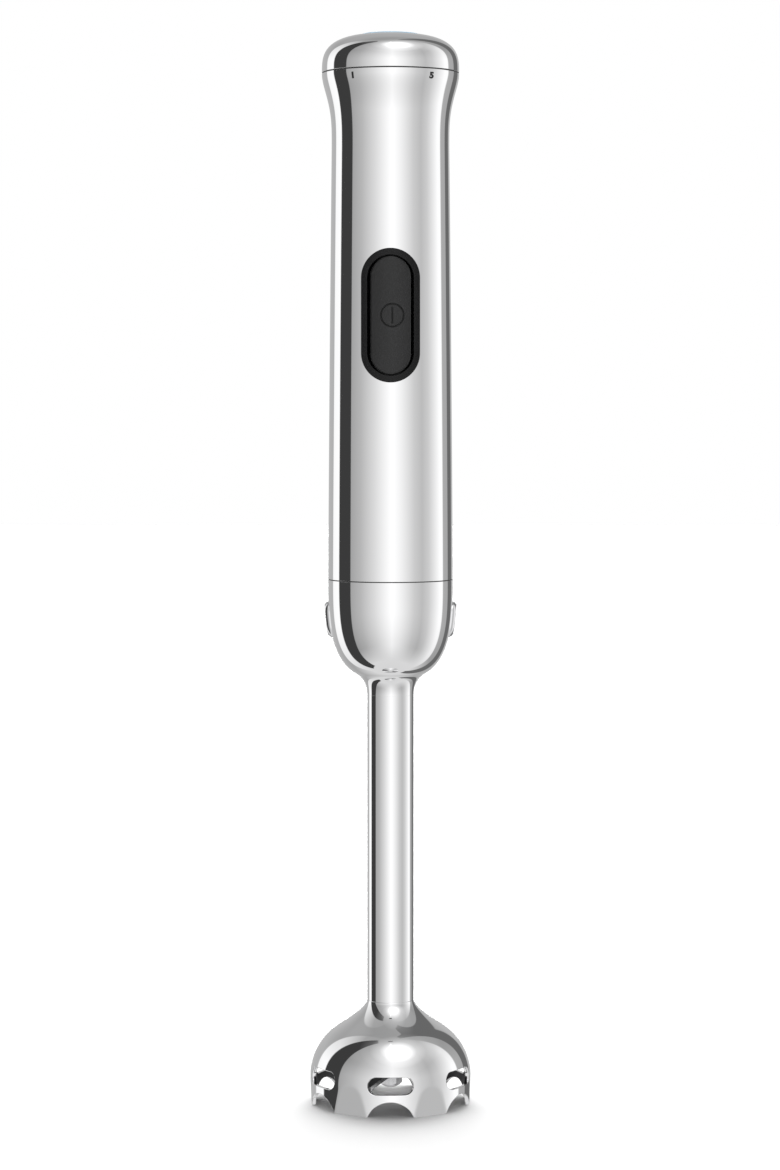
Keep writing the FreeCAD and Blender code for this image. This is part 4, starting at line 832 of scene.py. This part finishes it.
# the two dark cards, and how high they reach
CARD_HEIGHT = [(-90, 0.0), (-68.5, 0.0), (-67.5, 1.0), (77.5, 1.0), (78.5, 0.0), (90, 0.0)]
LEFT_CARD = [(-180, 0.0), (-110.5, 0.0), (-109.8, 1.0), (-79.6, 1.0), (-78.9, 0.0), (180, 0.0)]
RIGHT_CARD = [(-180, 0.0), (132.5, 0.0), (133.5, 1.0), (153.5, 1.0), (155.0, 0.0), (180, 0.0)]
LEFT_CARD_LEVEL, RIGHT_CARD_LEVEL = 0.043, 0.135
# a faint light strip above the front
STRIP_ROUND = [(-180, 0.0), (-12, 0.0), (2, 0.30), (16, 0.0), (180, 0.0)]
STRIP_UP = [(-90, 0.0), (44, 0.0), (60, 1.0), (84, 1.0), (89, 0.0), (90, 0.0)]
# an overhead lamp, as a soft round glow: its place, and its brightness by the angle from it
LAMP_AZIMUTH, LAMP_ELEVATION = 24.0, 67.0
LAMP_GLOW = [(0, 0.9), (12, 0.85), (22, 0.32), (34, 0.07), (46, 0.0), (90, 0.0)]
STUDIO_GAIN = 1.07
# what lights the floor: an even sky, and a broad lamp high behind the object
SKY_LEVEL, BACK_LAMP_LEVEL, BACK_LAMP_POWER, BACK_LAMP_ELEVATION = 0.30, 5.7, 5.0, 38.0

DEGREES = 180 / math.pi


def facing_point(azimuth_degrees, elevation_degrees):
    """The unit direction of an azimuth and an elevation."""
    a, e = math.radians(azimuth_degrees), math.radians(elevation_degrees)
    return Vector((math.sin(a) * math.cos(e), -math.cos(a) * math.cos(e), math.sin(e)))


coord = tree.nodes.new("ShaderNodeTexCoord")
split = tree.nodes.new("ShaderNodeSeparateXYZ")
tree.links.new(coord.outputs["Generated"], split.inputs[0])
dx, dy, dz = split.outputs
azimuth = times(math_node("ARCTAN2", dx, times(dy, -1.0)), DEGREES)
elevation = times(math_node("ARCSINE", dz), DEGREES)

walls = times(ramp_of(azimuth, AROUND), ramp_of(elevation, UPRIGHT))
base = blend_values(ramp_of(elevation, TOWARD_POLE), walls, ramp_of(elevation, POLE))
card_height = ramp_of(elevation, CARD_HEIGHT)
base = blend_values(times(ramp_of(azimuth, LEFT_CARD), card_height), base, LEFT_CARD_LEVEL)
base = blend_values(times(ramp_of(azimuth, RIGHT_CARD), card_height), base, RIGHT_CARD_LEVEL)
lamp_angle = times(math_node("ARCCOSINE", along(facing_point(LAMP_AZIMUTH, LAMP_ELEVATION))), DEGREES)
glow = ramp_of(lamp_angle, LAMP_GLOW)
strip = times(ramp_of(azimuth, STRIP_ROUND), ramp_of(elevation, STRIP_UP))
studio = add(add(base, glow), strip)

toward_back = along(facing_point(180.0, BACK_LAMP_ELEVATION))
back_glow = math_node("POWER", math_node("MAXIMUM", toward_back, 0.0), BACK_LAMP_POWER)
sky = add(SKY_LEVEL, times(back_glow, BACK_LAMP_LEVEL))

# mirrors see the studio, everything else is lit by the sky, and the backdrop is white
path = tree.nodes.new("ShaderNodeLightPath")
seen = blend_values(path.outputs["Is Glossy Ray"], sky, times(studio, STUDIO_GAIN))
seen = blend_values(path.outputs["Is Camera Ray"], seen, 1.0)
background = tree.nodes.new("ShaderNodeBackground")
background.inputs["Color"].default_value = (1, 1, 1, 1)
tree.links.new(seen, background.inputs["Strength"])
output = tree.nodes.new("ShaderNodeOutputWorld")
tree.links.new(background.outputs[0], output.inputs["Surface"])

bm = bmesh.new()
bmesh.ops.create_circle(bm, cap_ends=True, cap_tris=False, segments=96, radius=6.0)
floor_mesh = bpy.data.meshes.new("floor")
bm.to_mesh(floor_mesh)
bm.free()
floor = bpy.data.objects.new("floor", floor_mesh)
scene.collection.objects.link(floor)
floor.location.z = -0.0001
floor.visible_glossy = False
floor_material, _, shader = new_material("pale_floor")
shader.inputs["Base Color"].default_value = (0.9, 0.9, 0.9, 1)
shader.inputs["Roughness"].default_value = 1.0
shader.inputs["Specular IOR Level"].default_value = 0.0
floor.data.materials.append(floor_material)

camera_data = bpy.data.cameras.new("camera")
camera = bpy.data.objects.new("camera", camera_data)
scene.collection.objects.link(camera)
scene.camera = camera
camera_data.sensor_width = 36.0
camera_data.lens = 99.51
camera_data.shift_y = -0.1
camera_data.clip_start = 0.05
camera_data.clip_end = 50.0
camera.location = (-0.0002, -1.2733, 0.2763)
camera.rotation_euler = (math.radians(88.825), 0.0, 0.0)
